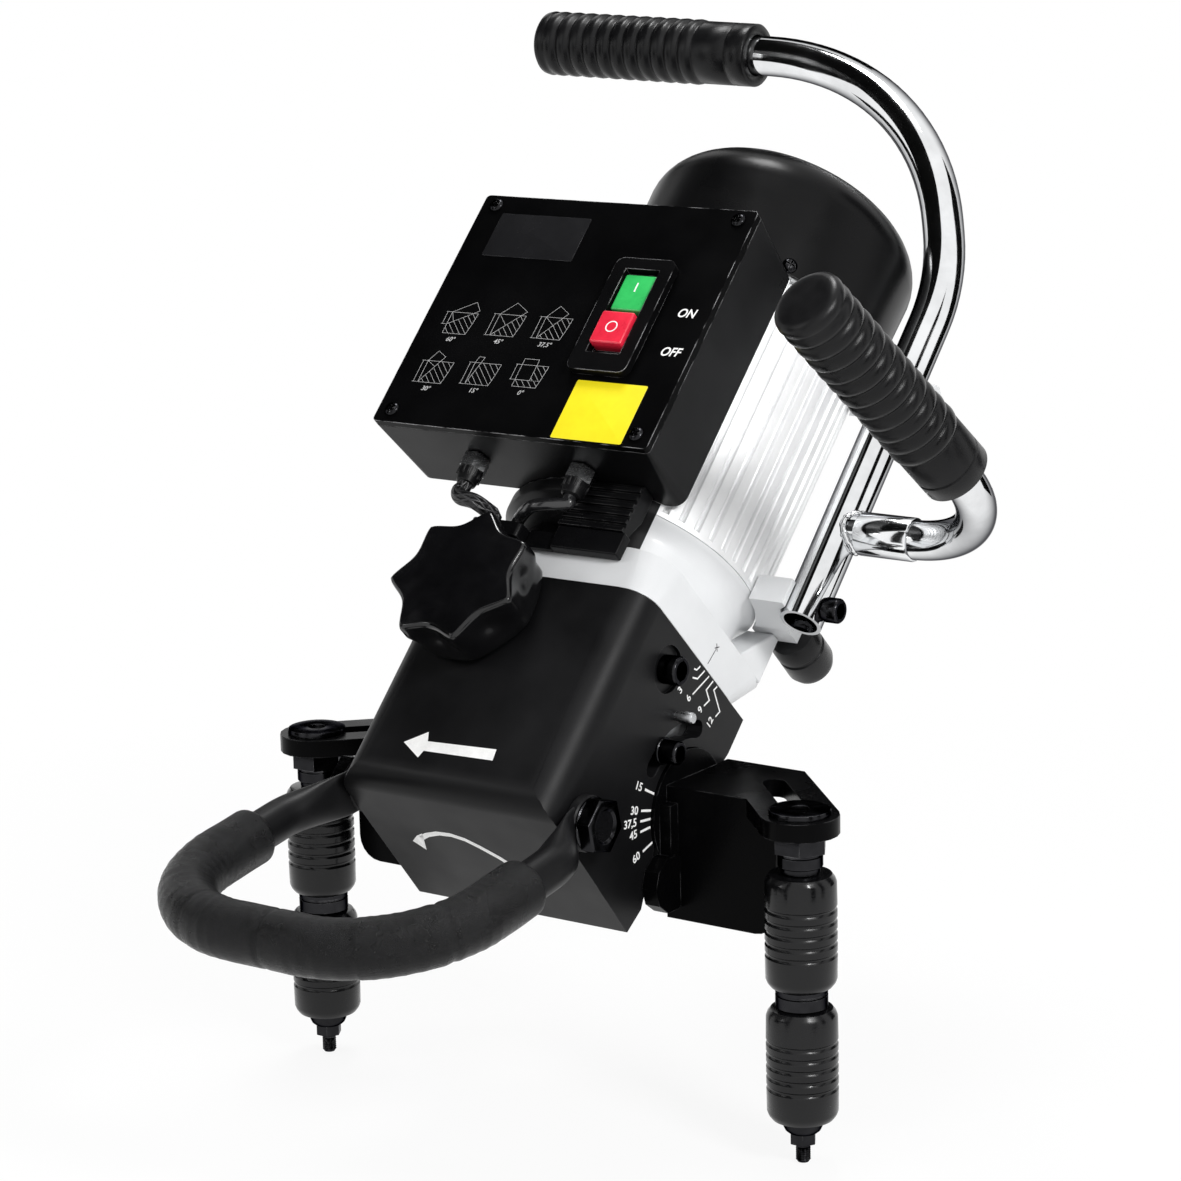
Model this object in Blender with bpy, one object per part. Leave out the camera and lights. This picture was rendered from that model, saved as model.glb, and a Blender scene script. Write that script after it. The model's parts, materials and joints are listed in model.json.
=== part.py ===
"""Hand-guided beveling machine.

An induction motor stands on an angle housing. The housing turns about a
cross pivot inside a guide, and it carries the cutter that chamfers an edge.
Units are metres. The origin lies on the underside of the guide's tie bar,
+X runs along the guide, +Y away from the operator and +Z up.
The head is modelled upright and then tilted to its bevel angle.
"""

import math

import bmesh
import bpy
from mathutils import Matrix, Vector

MM = 0.001
DEG = math.pi / 180

# General clearances
GAP = 0.3 * MM
OVERRUN = 2.0 * MM
JOIN = 1.0 * MM

# Bevel setting
BEVEL_REST = 45 * DEG
ARC_STEP = 12 * DEG
ROUND_SIDES = 24
SMALL_SIDES = 10
INNER_SIDES = 16
ROLLER_SIDES = 14
LEAD_SIDES = 8
TUBE_SIDES = 12
TUBE_STEP = 20 * DEG
HEX_SIDES = 6

# Guide: arms, fence, boss discs and tie bar
GUIDE_UNDERSIDE = 9.0 * MM
ARM_THICKNESS = 10.0 * MM
ARM_BACK_Y = 40.0 * MM
ARM_END_RADIUS = 21.0 * MM
SIDE_CLEARANCE = 1.0 * MM
TIE_NEAR = 22.0 * MM
TIE_FAR = 31.0 * MM
TIE_THICKNESS = 3.5 * MM
BOSS_RADIUS = 34.0 * MM
BOSS_LUG_THICKNESS = 9.0 * MM
BOSS_LUG_RADIUS = 16.0 * MM
BOSS_LUG_DROP = 33.0 * MM
BOSS_LUG_SETBACK = 14.0 * MM
FENCE_FACE = 11.5 * MM
FENCE_THICKNESS = 10.0 * MM
FENCE_DEPTH = 55.0 * MM
FENCE_LENGTH = 70.0 * MM
FENCE_CORNER = 14.0 * MM
STUD_OUT = 92.0 * MM
STUD_Y = -30.8 * MM
SLOT_WIDTH = 12.8 * MM
SLOT_LENGTH = 62.0 * MM

# Clamp plates inside the housing walls, and the angle clamp screws
PLATE_RADIUS = 50.0 * MM
PLATE_THICKNESS = 9.7 * MM
CLAMP_RADIUS = 44.0 * MM
CLAMP_ANGLE = 120 * DEG
CLAMP_SHANK = 4.0 * MM
CLAMP_WASHER = 7.5 * MM
CLAMP_WASHER_THICKNESS = 1.6 * MM
CLAMP_HEAD = 6.5 * MM
CLAMP_HEAD_HEIGHT = 10.0 * MM
CLAMP_SOCKET = 3.4 * MM
CLAMP_SOCKET_DEPTH = 5.0 * MM

# Roller stacks, from the arm down
STUD_SHANK = 6.0 * MM
STUD_HEAD_RADIUS = 16.5 * MM
STUD_HEAD_HEIGHT = 3.0 * MM
STUD_HEAD_EDGE = 1.2 * MM
STUD_SOCKET = 4.5 * MM
STUD_SOCKET_DEPTH = 2.0 * MM
AXLE_RADIUS = 5.0 * MM
STUD_THREAD = 4.0 * MM
STUD_NUT_FLATS = 26.0 * MM
STUD_NUT_HEIGHT = 9.5 * MM
COLLAR_RADIUS = 12.0 * MM
COLLAR_HEIGHT = 8.7 * MM
TOP_WASHER_RADIUS = 10.5 * MM
TOP_WASHER_HEIGHT = 3.4 * MM
ROLLER_RADIUS = 19.2 * MM
ROLLER_HEIGHT = 62.0 * MM
ROLLER_END_RADIUS = 14.0 * MM
ROLLER_ROUNDING = 6.0 * MM
ROLLER_GROOVE_DEPTH = 0.9 * MM
ROLLER_GROOVE_WIDTH = 3.0 * MM
ROLLER_GROOVES = 2
SPACER_RADIUS = 14.0 * MM
SPACER_HEIGHT = 10.9 * MM
LOW_WASHER_RADIUS = 10.5 * MM
LOW_WASHER_HEIGHT = 7.0 * MM
END_NUT_FLATS = 13.0 * MM
END_NUT_HEIGHT = 6.7 * MM
STUD_TAIL = 10.4 * MM

# Angle housing, in forward (towards the operator) and up sizes
HOUSING_HALF = 70.0 * MM
SIDE_WALL = 10.0 * MM
HOUSING_FRONT = 114.5 * MM
HOUSING_TOP = 67.0 * MM
HOUSING_REAR = 15.0 * MM
HOUSING_REAR_LOW = 45.0 * MM
HOUSING_HORN = 63.0 * MM
HOUSING_HEEL = 79.0 * MM
HOUSING_HEEL_FORWARD = 3.0 * MM
HOUSING_TOE = 68.0 * MM
HOUSING_CORNER = 18.0 * MM
HOUSING_TOE_ROUNDING = 16.0 * MM
BOSS_CLEARANCE = 0.3 * MM
BOSS_OPENING_TOP = 69 * DEG
BOSS_OPENING_END = 249.5 * DEG
REAR_STRIP = 18.0 * MM
TOP_WALL = 10.0 * MM
ARC_SLOT_WIDTH = 10.0 * MM
ARC_SLOT_START = 118.5 * DEG
ARC_SLOT_END = 181.5 * DEG

# Slide lock screws, stop pins and handle bolts on the housing's sides
LOCK_FORWARD = 68.0 * MM
LOCK_UP = 47.0 * MM
LOCK_RECESS_RADIUS = 13.2 * MM
LOCK_RECESS_DEPTH = 2.5 * MM
LOCK_SHANK = 5.0 * MM
LOCK_HEAD = 8.0 * MM
LOCK_HEAD_HEIGHT = 11.0 * MM
LOCK_SOCKET = 4.4 * MM
LOCK_SOCKET_DEPTH = 5.0 * MM
PIN_RADIUS = 2.5 * MM
PIN_PATH_RADIUS = 54.5 * MM
PIN_ANGLE = 143 * DEG
PIN_PROUD = 11.0 * MM
PIN_SEAT_DEPTH = 8.0 * MM
BOLT_FORWARD = 82.0 * MM
BOLT_UP = -57.0 * MM
BOLT_SHANK = 6.0 * MM
BOLT_FLATS = 24.0 * MM
BOLT_HEAD_HEIGHT = 8.0 * MM
BOLT_WASHER = 13.0 * MM
BOLT_WASHER_THICKNESS = 1.6 * MM

# Depth adjusting knob and its screw
KNOB_X = -26.0 * MM
KNOB_UP = 43.5 * MM
KNOB_BASE_RADIUS = 39.0 * MM
KNOB_RADIUS = 42.0 * MM
KNOB_LOBE = 9.0 * MM
KNOB_LOBES = 7
KNOB_LOBE_TURN = math.radians(36.2)
KNOB_TIP_SHARE = 0.12
KNOB_LOBE_POINTS = 6
KNOB_THICKNESS = 29.0 * MM
KNOB_DOME = 2.5 * MM
KNOB_ROUNDING = 4.0 * MM
KNOB_FLARE_LOW = 12.5 * MM
KNOB_FLARE_TOP = 17.5 * MM
KNOB_HUB = 15.0 * MM
KNOB_HUB_HEIGHT = 3.2 * MM
KNOB_BORE_DEPTH = 18.0 * MM
FEED_RADIUS = 5.0 * MM
FEED_LENGTH = 58.0 * MM
FEED_COLLAR = 8.0 * MM
FEED_COLLAR_THICKNESS = 3.0 * MM

# Front handle, a loop hinged on the housing's sides
HANDLE_DROP = 9 * DEG
HANDLE_TUBE = 11.0 * MM
HANDLE_HALF_WIDTH = 88.0 * MM
HANDLE_REACH = 172.0 * MM
HANDLE_CORNER = 66.0 * MM
EYE_THICKNESS = 6.0 * MM
EYE_RADIUS = 13.0 * MM
EYE_LENGTH = 14.0 * MM
EYE_TAPER = 34.0 * MM
HANDLE_GRIP_START = 78.0 * MM
HANDLE_GRIP = 15.6 * MM

# Depth slide and motor, about the motor axis
MOTOR_FORWARD = 45.0 * MM
SLIDE_FRONT = 68.5 * MM
SLIDE_REAR = 53.0 * MM
SHIELD_REAR = 74.0 * MM
SLAB_THICKNESS = 24.7 * MM
SLAB_CORNER = 16.0 * MM
RIDGE_CORNER = 22.0 * MM
SHIELD_HEIGHT = 28.0 * MM
SHIELD_RADIUS = 76.0 * MM
NOSE_RADIUS = 29.0 * MM
NOSE_LENGTH = 37.0 * MM
SKIRT_THICKNESS = 13.0 * MM
SKIRT_NEAR = 53.0 * MM
SKIRT_FAR = 9.0 * MM
SKIRT_DEPTH = 24.0 * MM
LUG_HALF = 12.0 * MM
LUG_NEAR = 41.0 * MM
LUG_FAR = 17.0 * MM
LUG_DEPTH = 36.0 * MM
COWL_CLEARANCE = 0.2 * MM
FRAME_CORE = 66.0 * MM
FIN_RADIUS = 75.0 * MM
FIN_COUNT = 30
FIN_SHARES = (0.0, 0.12, 0.5, 0.62)
STATOR_RADIUS = 60.0 * MM
STATOR_BORE = 38.6 * MM
STATOR_LENGTH = 96.0 * MM
STATOR_LIFT = 36.0 * MM
WINDING_OUTER = 57.0 * MM
WINDING_INNER = 41.0 * MM
WINDING_HEIGHT = 20.0 * MM
ROTOR_RADIUS = 37.6 * MM
REAR_SHIELD_THICKNESS = 10.0 * MM
COWL_RADIUS = 81.4 * MM
COWL_LOW_RADIUS = 80.0 * MM
COWL_WALL = 2.4 * MM
COWL_HEIGHT = 54.0 * MM
COWL_DOME = 30.0 * MM
COWL_TOP_RADIUS = 46.0 * MM
COWL_SCREW_LIFT = 8.8 * MM
COWL_SCREW_HEAD = 4.4 * MM
COWL_SCREW_HEAD_HEIGHT = 2.6 * MM
COWL_SCREW_SHANK = 2.0 * MM
COWL_SCREW_LENGTH = 10.0 * MM
COWL_SCREW_ANGLE = 44 * DEG
COWL_SLOTS = 8
COWL_SLOT_WIDTH = 5.0 * MM
COWL_SLOT_INNER = 16.0 * MM
COWL_SLOT_OUTER = 40.0 * MM
SHAFT_RADIUS = 10.0 * MM
BEARING_RADIUS = 26.0 * MM
BEARING_HEIGHT = 18.0 * MM
REAR_BEARING_RADIUS = 20.0 * MM
REAR_BEARING_HEIGHT = 9.0 * MM
FAN_RADIUS = 64.0 * MM
FAN_HUB = 17.0 * MM
FAN_PLATE = 3.0 * MM
FAN_HEIGHT = 24.0 * MM
FAN_BLADE = 3.0 * MM
FAN_BLADES = 6
FAN_LIFT = 8.0 * MM

# Cutter
CUTTER_TOP = 14.0 * MM
CUTTER_HEIGHT = 40.0 * MM
CUTTER_RADIUS = 31.0 * MM
CUTTER_NECK = 24.0 * MM
CUTTER_NECK_HEIGHT = 4.0 * MM
INSERT_SIZE = 13.0 * MM
INSERT_HEIGHT = 26.0 * MM
INSERT_THICKNESS = 4.0 * MM
INSERT_PROUD = 2.5 * MM
INSERTS = 3
INSERT_SCREW = 2.0 * MM
CUTTER_BOLT_HEAD = 8.0 * MM
CUTTER_BOLT_HEAD_HEIGHT = 7.0 * MM
CUTTER_BOLT_SHANK = 4.0 * MM
CUTTER_BOLT_LENGTH = 26.0 * MM

# Switch box, its lid and what sits on them
BOX_LEFT = 118.0 * MM
BOX_RIGHT = 60.0 * MM
BOX_LOW = 127.0 * MM
BOX_LENGTH = 159.5 * MM
BOX_BACK = 58.0 * MM
BOX_WALL = 4.0 * MM
BOX_CORNER = 9.0 * MM
LID_FACE = 112.6 * MM
LID_THICKNESS = 4.4 * MM
LID_MARGIN = 3.0 * MM
LID_SCREW_INSET = 7.0 * MM
LID_SCREW_SHANK = 2.0 * MM
LID_SCREW_HEAD = 3.6 * MM
LID_SCREW_HEAD_HEIGHT = 1.8 * MM
LID_SCREW_LENGTH = 14.0 * MM
LID_POST = 6.0 * MM
SWITCH_X = 11.5 * MM
SWITCH_UP = 208.0 * MM
SWITCH_HALF = 14.5 * MM
SWITCH_LENGTH = 66.0 * MM
SWITCH_DEPTH = 30.0 * MM
GUARD_BORDER = 5.0 * MM
GUARD_HEIGHT = 5.0 * MM
BUTTON_HALF = 10.5 * MM
ON_LOW = 212.0 * MM
ON_LENGTH = 24.0 * MM
OFF_LOW = 187.0 * MM
OFF_LENGTH = 21.0 * MM
ON_PROUD = 3.6 * MM
OFF_PROUD = 8.0 * MM
BUTTON_TRAVEL = 3.0 * MM
BUTTON_SEAT = 6.0 * MM
CAPACITOR_RADIUS = 17.0 * MM
CAPACITOR_LENGTH = 96.0 * MM
GLAND_LEFT_X = -62.0 * MM
GLAND_LEFT_FORWARD = 86.0 * MM
GLAND_RIGHT_X = 9.0 * MM
GLAND_RIGHT_FORWARD = 86.0 * MM
GLAND_FLATS = 15.0 * MM
GLAND_NUT_HEIGHT = 9.0 * MM
GLAND_DOME_HEIGHT = 9.0 * MM
GLAND_DOME_RADIUS = 5.8 * MM
GLAND_SPIGOT = 6.0 * MM
LEAD_RADIUS = 3.6 * MM
BRAID_RADIUS = 4.4 * MM
CLAMP_BLOCK_HALF = 17.0 * MM
CLAMP_BLOCK_DEPTH = 13.0 * MM
CLAMP_BLOCK_HEIGHT = 9.0 * MM
CLAMP_BLOCK_X = -34.0 * MM
COVER_LEFT = 2.0 * MM
COVER_RIGHT = 44.0 * MM
COVER_HEIGHT = 30.0 * MM
COVER_DEPTH = 13.0 * MM
COVER_RIBS = 6
COVER_RIB_DEPTH = 2.0 * MM
EARTH_X = -10.0 * MM
EARTH_UP = 106.0 * MM
EARTH_HEAD = 4.5 * MM
EARTH_HEAD_HEIGHT = 3.5 * MM

# Main handle tube with its grip, and the side handle
TUBE_RADIUS = 12.0 * MM
TUBE_WALL = 2.2 * MM
TUBE_X = 102.8 * MM
TUBE_BACK = 25.0 * MM
TUBE_LOW = 113.0 * MM
TUBE_KNEE_X = 99.9 * MM
TUBE_KNEE_UP = 348.3 * MM
TUBE_SHOULDER_X = 42.6 * MM
TUBE_SHOULDER_UP = 484.8 * MM
TUBE_END_X = -222.0 * MM
TUBE_END_FORWARD = 10.0 * MM
TUBE_KNEE_RADIUS = 150.0 * MM
TUBE_SHOULDER_RADIUS = 165.0 * MM
GRIP_RADIUS = 20.0 * MM
GRIP_RIB_DEPTH = 1.8 * MM
GRIP_RIBS = 10
GRIP_RIB_SHARES = ((0.3, 0.0), (0.9, 1.0))
GRIP_CAP_SHARES = ((0.35, 1.0), (0.8, 0.88), (1.0, 0.6))
GRIP_CAP = 8.0 * MM
TOP_GRIP_LENGTH = 146.0 * MM
TOP_GRIP_SLEEVE = 30.0 * MM
SIDE_UP = 174.0 * MM
SIDE_ELBOW_X = 219.0 * MM
SIDE_ELBOW_RADIUS = 58.0 * MM
SIDE_END_X = 178.0 * MM
SIDE_END_FORWARD = 185.0 * MM
SIDE_TUBE = 11.0 * MM
SIDE_GRIP_LENGTH = 140.0 * MM
SIDE_GRIP_SLEEVE = 26.0 * MM
BRACKET_UP = 123.5 * MM
BRACKET_HEIGHT = 16.0 * MM
BRACKET_INNER = 56.0 * MM
BRACKET_HALF = 15.0 * MM
UPPER_BRACKET_UP = 268.0 * MM
TUBE_SCREW_SHANK = 4.0 * MM
TUBE_SCREW_HEAD = 7.0 * MM
TUBE_SCREW_HEAD_HEIGHT = 9.0 * MM
REST_X = 74.0 * MM
REST_BACK = 62.0 * MM
REST_RADIUS = 14.0 * MM
REST_HEIGHT = 34.0 * MM

# Colours, with roughness and metallic value
FINISHES = {
    "black_paint": ((0.018, 0.018, 0.02), 0.45, 0.0),
    "bright_aluminium": ((0.72, 0.73, 0.74), 0.35, 1.0),
    "grey_paint": ((0.62, 0.63, 0.64), 0.45, 0.0),
    "chrome": ((0.8, 0.8, 0.82), 0.12, 1.0),
    "rubber": ((0.02, 0.02, 0.022), 0.8, 0.0),
    "foam": ((0.035, 0.035, 0.038), 0.9, 0.0),
    "steel": ((0.5, 0.5, 0.51), 0.35, 1.0),
    "black_steel": ((0.03, 0.03, 0.032), 0.4, 0.6),
    "black_plastic": ((0.02, 0.02, 0.022), 0.5, 0.0),
    "lid_metal": ((0.05, 0.05, 0.055), 0.35, 0.0),
    "green_plastic": ((0.02, 0.25, 0.06), 0.4, 0.0),
    "red_plastic": ((0.55, 0.02, 0.02), 0.4, 0.0),
    "copper": ((0.6, 0.27, 0.12), 0.4, 1.0),
    "carbide": ((0.62, 0.52, 0.25), 0.35, 1.0),
}


# Helpers: outlines

def rounded(corners, radii):
    """Outline with each corner replaced by an arc of its radius."""
    outline = []
    count = len(corners)
    for index, corner in enumerate(corners):
        here = Vector(corner)
        before = Vector(corners[index - 1]) - here
        after = Vector(corners[(index + 1) % count]) - here
        radius = radii[index]
        if radius <= 0:
            outline.append(here)
            continue
        before.normalize()
        after.normalize()
        opening = before.angle(after)
        centre = here + (before + after).normalized() * (radius / math.sin(opening / 2))
        first = here + before * (radius / math.tan(opening / 2)) - centre
        last = here + after * (radius / math.tan(opening / 2)) - centre
        turn = math.pi - opening
        steps = max(2, round(turn / (1.5 * ARC_STEP)))
        for step in range(steps + 1):
            share = step / steps
            weight_a = math.sin((1 - share) * turn) / math.sin(turn)
            weight_b = math.sin(share * turn) / math.sin(turn)
            outline.append(centre + first * weight_a + last * weight_b)
    return outline


def arc(radius, start, end, step=ARC_STEP):
    """Points on an arc about the origin, both ends included."""
    count = max(2, round(abs(end - start) / step))
    angles = [start + (end - start) * index / count for index in range(count + 1)]
    return [Vector((radius * math.cos(angle), radius * math.sin(angle))) for angle in angles]


def circle(radius, sides=ROUND_SIDES, centre=(0, 0), phase=0.0):
    """Regular outline with its corners on a circle."""
    angles = [phase + math.tau * index / sides for index in range(sides)]
    return [Vector((centre[0] + radius * math.cos(a), centre[1] + radius * math.sin(a)))
            for a in angles]


def rectangle(low_a, high_a, low_b, high_b):
    """Outline of a rectangle."""
    return [Vector((low_a, low_b)), Vector((high_a, low_b)),
            Vector((high_a, high_b)), Vector((low_a, high_b))]


def box_ring(half, front, rear, corner):
    """Ring of a rounded rectangle, with -Y as its front."""
    ring = []
    per_corner = ROUND_SIDES // 4 + 1
    centres = ((half - corner, rear - corner), (corner - half, rear - corner),
               (corner - half, corner - front), (half - corner, corner - front))
    for index, centre in enumerate(centres):
        for step in range(per_corner):
            angle = (index + step / (per_corner - 1)) * math.pi / 2
            ring.append((centre[0] + corner * math.cos(angle),
                         centre[1] + corner * math.sin(angle)))
    return ring


# Helpers: solids

def upright(a, b, h):
    return Vector((a, b, h))


def sideways(a, b, h):
    """Outline in Y and Z, swept along X."""
    return Vector((h, a, b))


def frontways(a, b, h):
    """Outline in X and Z, swept along -Y."""
    return Vector((a, -h, b))


def finish_mesh(bm):
    bmesh.ops.remove_doubles(bm, verts=bm.verts, dist=GAP / 300)
    bmesh.ops.recalc_face_normals(bm, faces=bm.faces)
    return bm


def loft(rings, closed=False):
    """Solid through rings of equal point count, capped unless closed."""
    bm = bmesh.new()
    loops = [[bm.verts.new(point) for point in ring] for ring in rings]
    count = len(loops[0])
    pairs = list(zip(loops[:-1], loops[1:]))
    if closed:
        pairs.append((loops[-1], loops[0]))
    for low, high in pairs:
        for index in range(count):
            after = (index + 1) % count
            bm.faces.new((low[index], low[after], high[after], high[index]))
    if not closed:
        bm.faces.new(list(reversed(loops[0])))
        bm.faces.new(loops[-1])
    return finish_mesh(bm)


def prism(outline, low, high, place=upright):
    """Outline swept from low to high."""
    return loft([[place(p[0], p[1], low) for p in outline],
                 [place(p[0], p[1], high) for p in outline]])


def turned(profile, sides=ROUND_SIDES):
    """Solid of revolution about Z. Profile points are (radius, height)."""
    bm = bmesh.new()
    loops = []
    for radius, height in profile:
        if radius <= 0:
            loops.append([bm.verts.new((0, 0, height))])
        else:
            loops.append([bm.verts.new((p[0], p[1], height)) for p in circle(radius, sides)])
    pairs = list(zip(loops[:-1], loops[1:]))
    if len(loops[0]) > 1:
        pairs.append((loops[-1], loops[0]))
    for low, high in pairs:
        for index in range(sides):
            after = (index + 1) % sides
            if len(low) == 1 and len(high) > 1:
                bm.faces.new((low[0], high[after], high[index]))
            elif len(high) == 1 and len(low) > 1:
                bm.faces.new((low[index], low[after], high[0]))
            elif len(low) > 1:
                bm.faces.new((low[index], low[after], high[after], high[index]))
    return finish_mesh(bm)


def ring_solid(outer, inner, low, high, sides=ROUND_SIDES):
    """Plain ring between two radii and two heights."""
    return turned([(outer, low), (outer, high), (inner, high), (inner, low)], sides)


def to_object(bm, name):
    mesh = bpy.data.meshes.new(name)
    bm.to_mesh(mesh)
    item = bpy.data.objects.new(name, mesh)
    bpy.context.scene.collection.objects.link(item)
    return item


def boolean(base, tool, operation):
    """EXACT Boolean of two bmesh solids, given back as one bmesh."""
    target = to_object(base, "boolean_target")
    cutter = to_object(tool, "boolean_tool")
    cutter.hide_render = True
    cutter.display_type = "WIRE"
    modifier = target.modifiers.new("boolean", "BOOLEAN")
    modifier.operation = operation
    modifier.solver = "EXACT"
    modifier.object = cutter
    graph = bpy.context.evaluated_depsgraph_get()
    result = bmesh.new()
    evaluated = target.evaluated_get(graph)
    result.from_mesh(evaluated.to_mesh())
    evaluated.to_mesh_clear()
    for item in (target, cutter):
        mesh = item.data
        bpy.data.objects.remove(item)
        bpy.data.meshes.remove(mesh)
    bmesh.ops.dissolve_limit(result, angle_limit=DEG / 10, verts=result.verts, edges=result.edges)
    return result


def cut(base, *tools):
    for tool in tools:
        base = boolean(base, tool, "DIFFERENCE")
    return base


def join(base, *tools):
    for tool in tools:
        base = boolean(base, tool, "UNION")
    return base


def moved(bm, matrix):
    """The same solid after a move, mirrored solids kept facing out."""
    bm = bm.copy()
    bm.transform(matrix)
    if matrix.determinant() < 0:
        bmesh.ops.reverse_faces(bm, faces=bm.faces)
    return bm


def shift(x=0.0, y=0.0, z=0.0):
    return Matrix.Translation((x, y, z))


def turn(angle, axis):
    return Matrix.Rotation(angle, 4, axis)


MIRROR_X = Matrix.Diagonal((-1, 1, 1, 1))


def together(*solids):
    """Several separate solids in one mesh."""
    bm = bmesh.new()
    for solid in solids:
        mesh = bpy.data.meshes.new("part_of_group")
        solid.to_mesh(mesh)
        bm.from_mesh(mesh)
        bpy.data.meshes.remove(mesh)
    return bm


def both_sides(solid):
    return together(solid, moved(solid, MIRROR_X))


def pair(name, solid, finish, parent):
    """Right piece and its mirrored left twin, each its own object."""
    piece(name + "_right", solid, finish, parent)
    piece(name + "_left", moved(solid, MIRROR_X), finish, parent)


def filleted_path(corners, radii, step=TUBE_STEP):
    """3-D path whose inner corners are arcs."""
    path = [Vector(corners[0])]
    for index in range(1, len(corners) - 1):
        here = Vector(corners[index])
        before = (Vector(corners[index - 1]) - here).normalized()
        after = (Vector(corners[index + 1]) - here).normalized()
        radius = radii[index - 1]
        opening = before.angle(after)
        centre = here + (before + after).normalized() * (radius / math.sin(opening / 2))
        first = here + before * (radius / math.tan(opening / 2)) - centre
        last = here + after * (radius / math.tan(opening / 2)) - centre
        bend = math.pi - opening
        steps = max(2, math.ceil(bend / step))
        for number in range(steps + 1):
            share = number / steps
            weight_a = math.sin((1 - share) * bend) / math.sin(bend)
            weight_b = math.sin(share * bend) / math.sin(bend)
            path.append(centre + first * weight_a + last * weight_b)
    path.append(Vector(corners[-1]))
    return path


def length_of(path):
    return sum((b - a).length for a, b in zip(path[:-1], path[1:]))


def along(path, distance):
    """Point of a path at a distance from its start."""
    left = distance
    for a, b in zip(path[:-1], path[1:]):
        span = (b - a).length
        if left <= span:
            return a.lerp(b, left / span)
        left -= span
    return path[-1].copy()


def stretch_of(path, start, end):
    """Part of a path between two distances."""
    points = [along(path, start)]
    travelled = 0.0
    for a, b in zip(path[:-1], path[1:]):
        travelled += (b - a).length
        if start + JOIN < travelled < end - JOIN:
            points.append(b.copy())
    points.append(along(path, end))
    return points


def sections(path, sizes, sides, side_hint):
    """Rings along a path; sizes gives each ring's half width and half height."""
    rings = []
    count = len(path)
    for index, point in enumerate(path):
        back = path[max(index - 1, 0)]
        ahead = path[min(index + 1, count - 1)]
        incoming = (point - back) if index else (ahead - point)
        outgoing = (ahead - point) if index < count - 1 else incoming
        tangent = (incoming.normalized() + outgoing.normalized()).normalized()
        across = (side_hint - tangent * side_hint.dot(tangent)).normalized()
        other = tangent.cross(across)
        width, height = sizes[index]
        stretch = 1 / max(tangent.dot(outgoing.normalized()), math.cos(math.pi / 4))
        rings.append([point + other * (width * stretch * math.cos(a)) + across * (height * math.sin(a))
                      for a in [math.tau * number / sides for number in range(sides)]])
    return rings


def tube(path, radius, wall, side_hint, sides=TUBE_SIDES):
    """Hollow round tube along a path, open at both ends."""
    outer = sections(path, [(radius, radius)] * len(path), sides, side_hint)
    inner = sections(path, [(radius - wall, radius - wall)] * len(path), sides, side_hint)
    return loft(outer + list(reversed(inner)), closed=True)


def hexagon(flats, low, high, bore=0.0, sides=SMALL_SIDES):
    """Hexagonal prism, bored where a bore is given."""
    solid = prism(circle(flats / math.sqrt(3), HEX_SIDES), low, high)
    if bore:
        solid = cut(solid, prism(circle(bore, sides), low - OVERRUN, high + OVERRUN))
    return solid


def socket_screw(shank, length, head, head_height, socket, socket_depth, washer=0.0,
                 washer_height=0.0):
    """Socket head screw along +Z, with its seat at height zero."""
    profile = [(0, -length), (shank, -length), (shank, 0)]
    base = 0.0
    if washer:
        profile += [(washer, 0), (washer, washer_height)]
        base = washer_height
    profile += [(head, base), (head, base + head_height), (0, base + head_height)]
    top = base + head_height
    key = prism(circle(socket, HEX_SIDES), top - socket_depth, top + OVERRUN)
    return cut(turned(profile, SMALL_SIDES), key)


# Helpers: objects

def finish_material(name, finish):
    colour, roughness, metallic = FINISHES[finish]
    material = bpy.data.materials.new(name)
    material.use_nodes = True
    shader = material.node_tree.nodes["Principled BSDF"]
    shader.inputs["Base Color"].default_value = (*colour, 1)
    shader.inputs["Roughness"].default_value = roughness
    shader.inputs["Metallic"].default_value = metallic
    return material


def empty(name, parent=None, location=(0, 0, 0), tilt=0.0):
    item = bpy.data.objects.new(name, None)
    bpy.context.scene.collection.objects.link(item)
    item.parent = parent
    item.location = location
    item.rotation_euler = (tilt, 0, 0)
    return item


def piece(name, bm, finish, parent, location=(0, 0, 0), rotation=(0, 0, 0), crease=35 * DEG):
    """One named sub-part with its own material, placed under its parent."""
    item = to_object(bm, name)
    item.data.shade_smooth()
    item.data.set_sharp_from_angle(angle=crease)
    item.data.materials.append(finish_material(name + "_finish", finish))
    item.parent = parent
    item.location = location
    item.rotation_euler = rotation
    return item


for old in list(bpy.data.objects):
    bpy.data.objects.remove(old)

# Reference empties: the bevel pivot, the upright head turned to its bevel
# angle, the motor axis, the knob's axis, and the front handle's axis
TIE_MIDDLE = (TIE_NEAR + TIE_FAR) / 2
pivot = empty("bevel_pivot", location=(0, -TIE_MIDDLE, -GUIDE_UNDERSIDE))
head = empty("head_axes", pivot, tilt=-BEVEL_REST)
motor = empty("motor_axes", head, location=(0, -MOTOR_FORWARD, 0))
knob = empty("knob_axis", head, location=(KNOB_X, -HOUSING_FRONT - GAP, KNOB_UP), tilt=math.pi / 2)
handle = empty("handle_axis", head, location=(0, -BOLT_FORWARD, BOLT_UP),
               tilt=BEVEL_REST + HANDLE_DROP)

# Guide casting
GUIDE_INNER = HOUSING_HALF + SIDE_CLEARANCE
INNER_FACE = HOUSING_HALF - SIDE_WALL
ARM_TOP = GUIDE_UNDERSIDE + ARM_THICKNESS
STUD_X = HOUSING_HALF + STUD_OUT
DIAGONAL = ARM_END_RADIUS / math.sqrt(2)
OUTER_SUM = STUD_X + STUD_Y + 2 * DIAGONAL
INNER_SUM = STUD_X + STUD_Y - 2 * DIAGONAL
FENCE_BACK = FENCE_FACE + FENCE_THICKNESS


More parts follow.
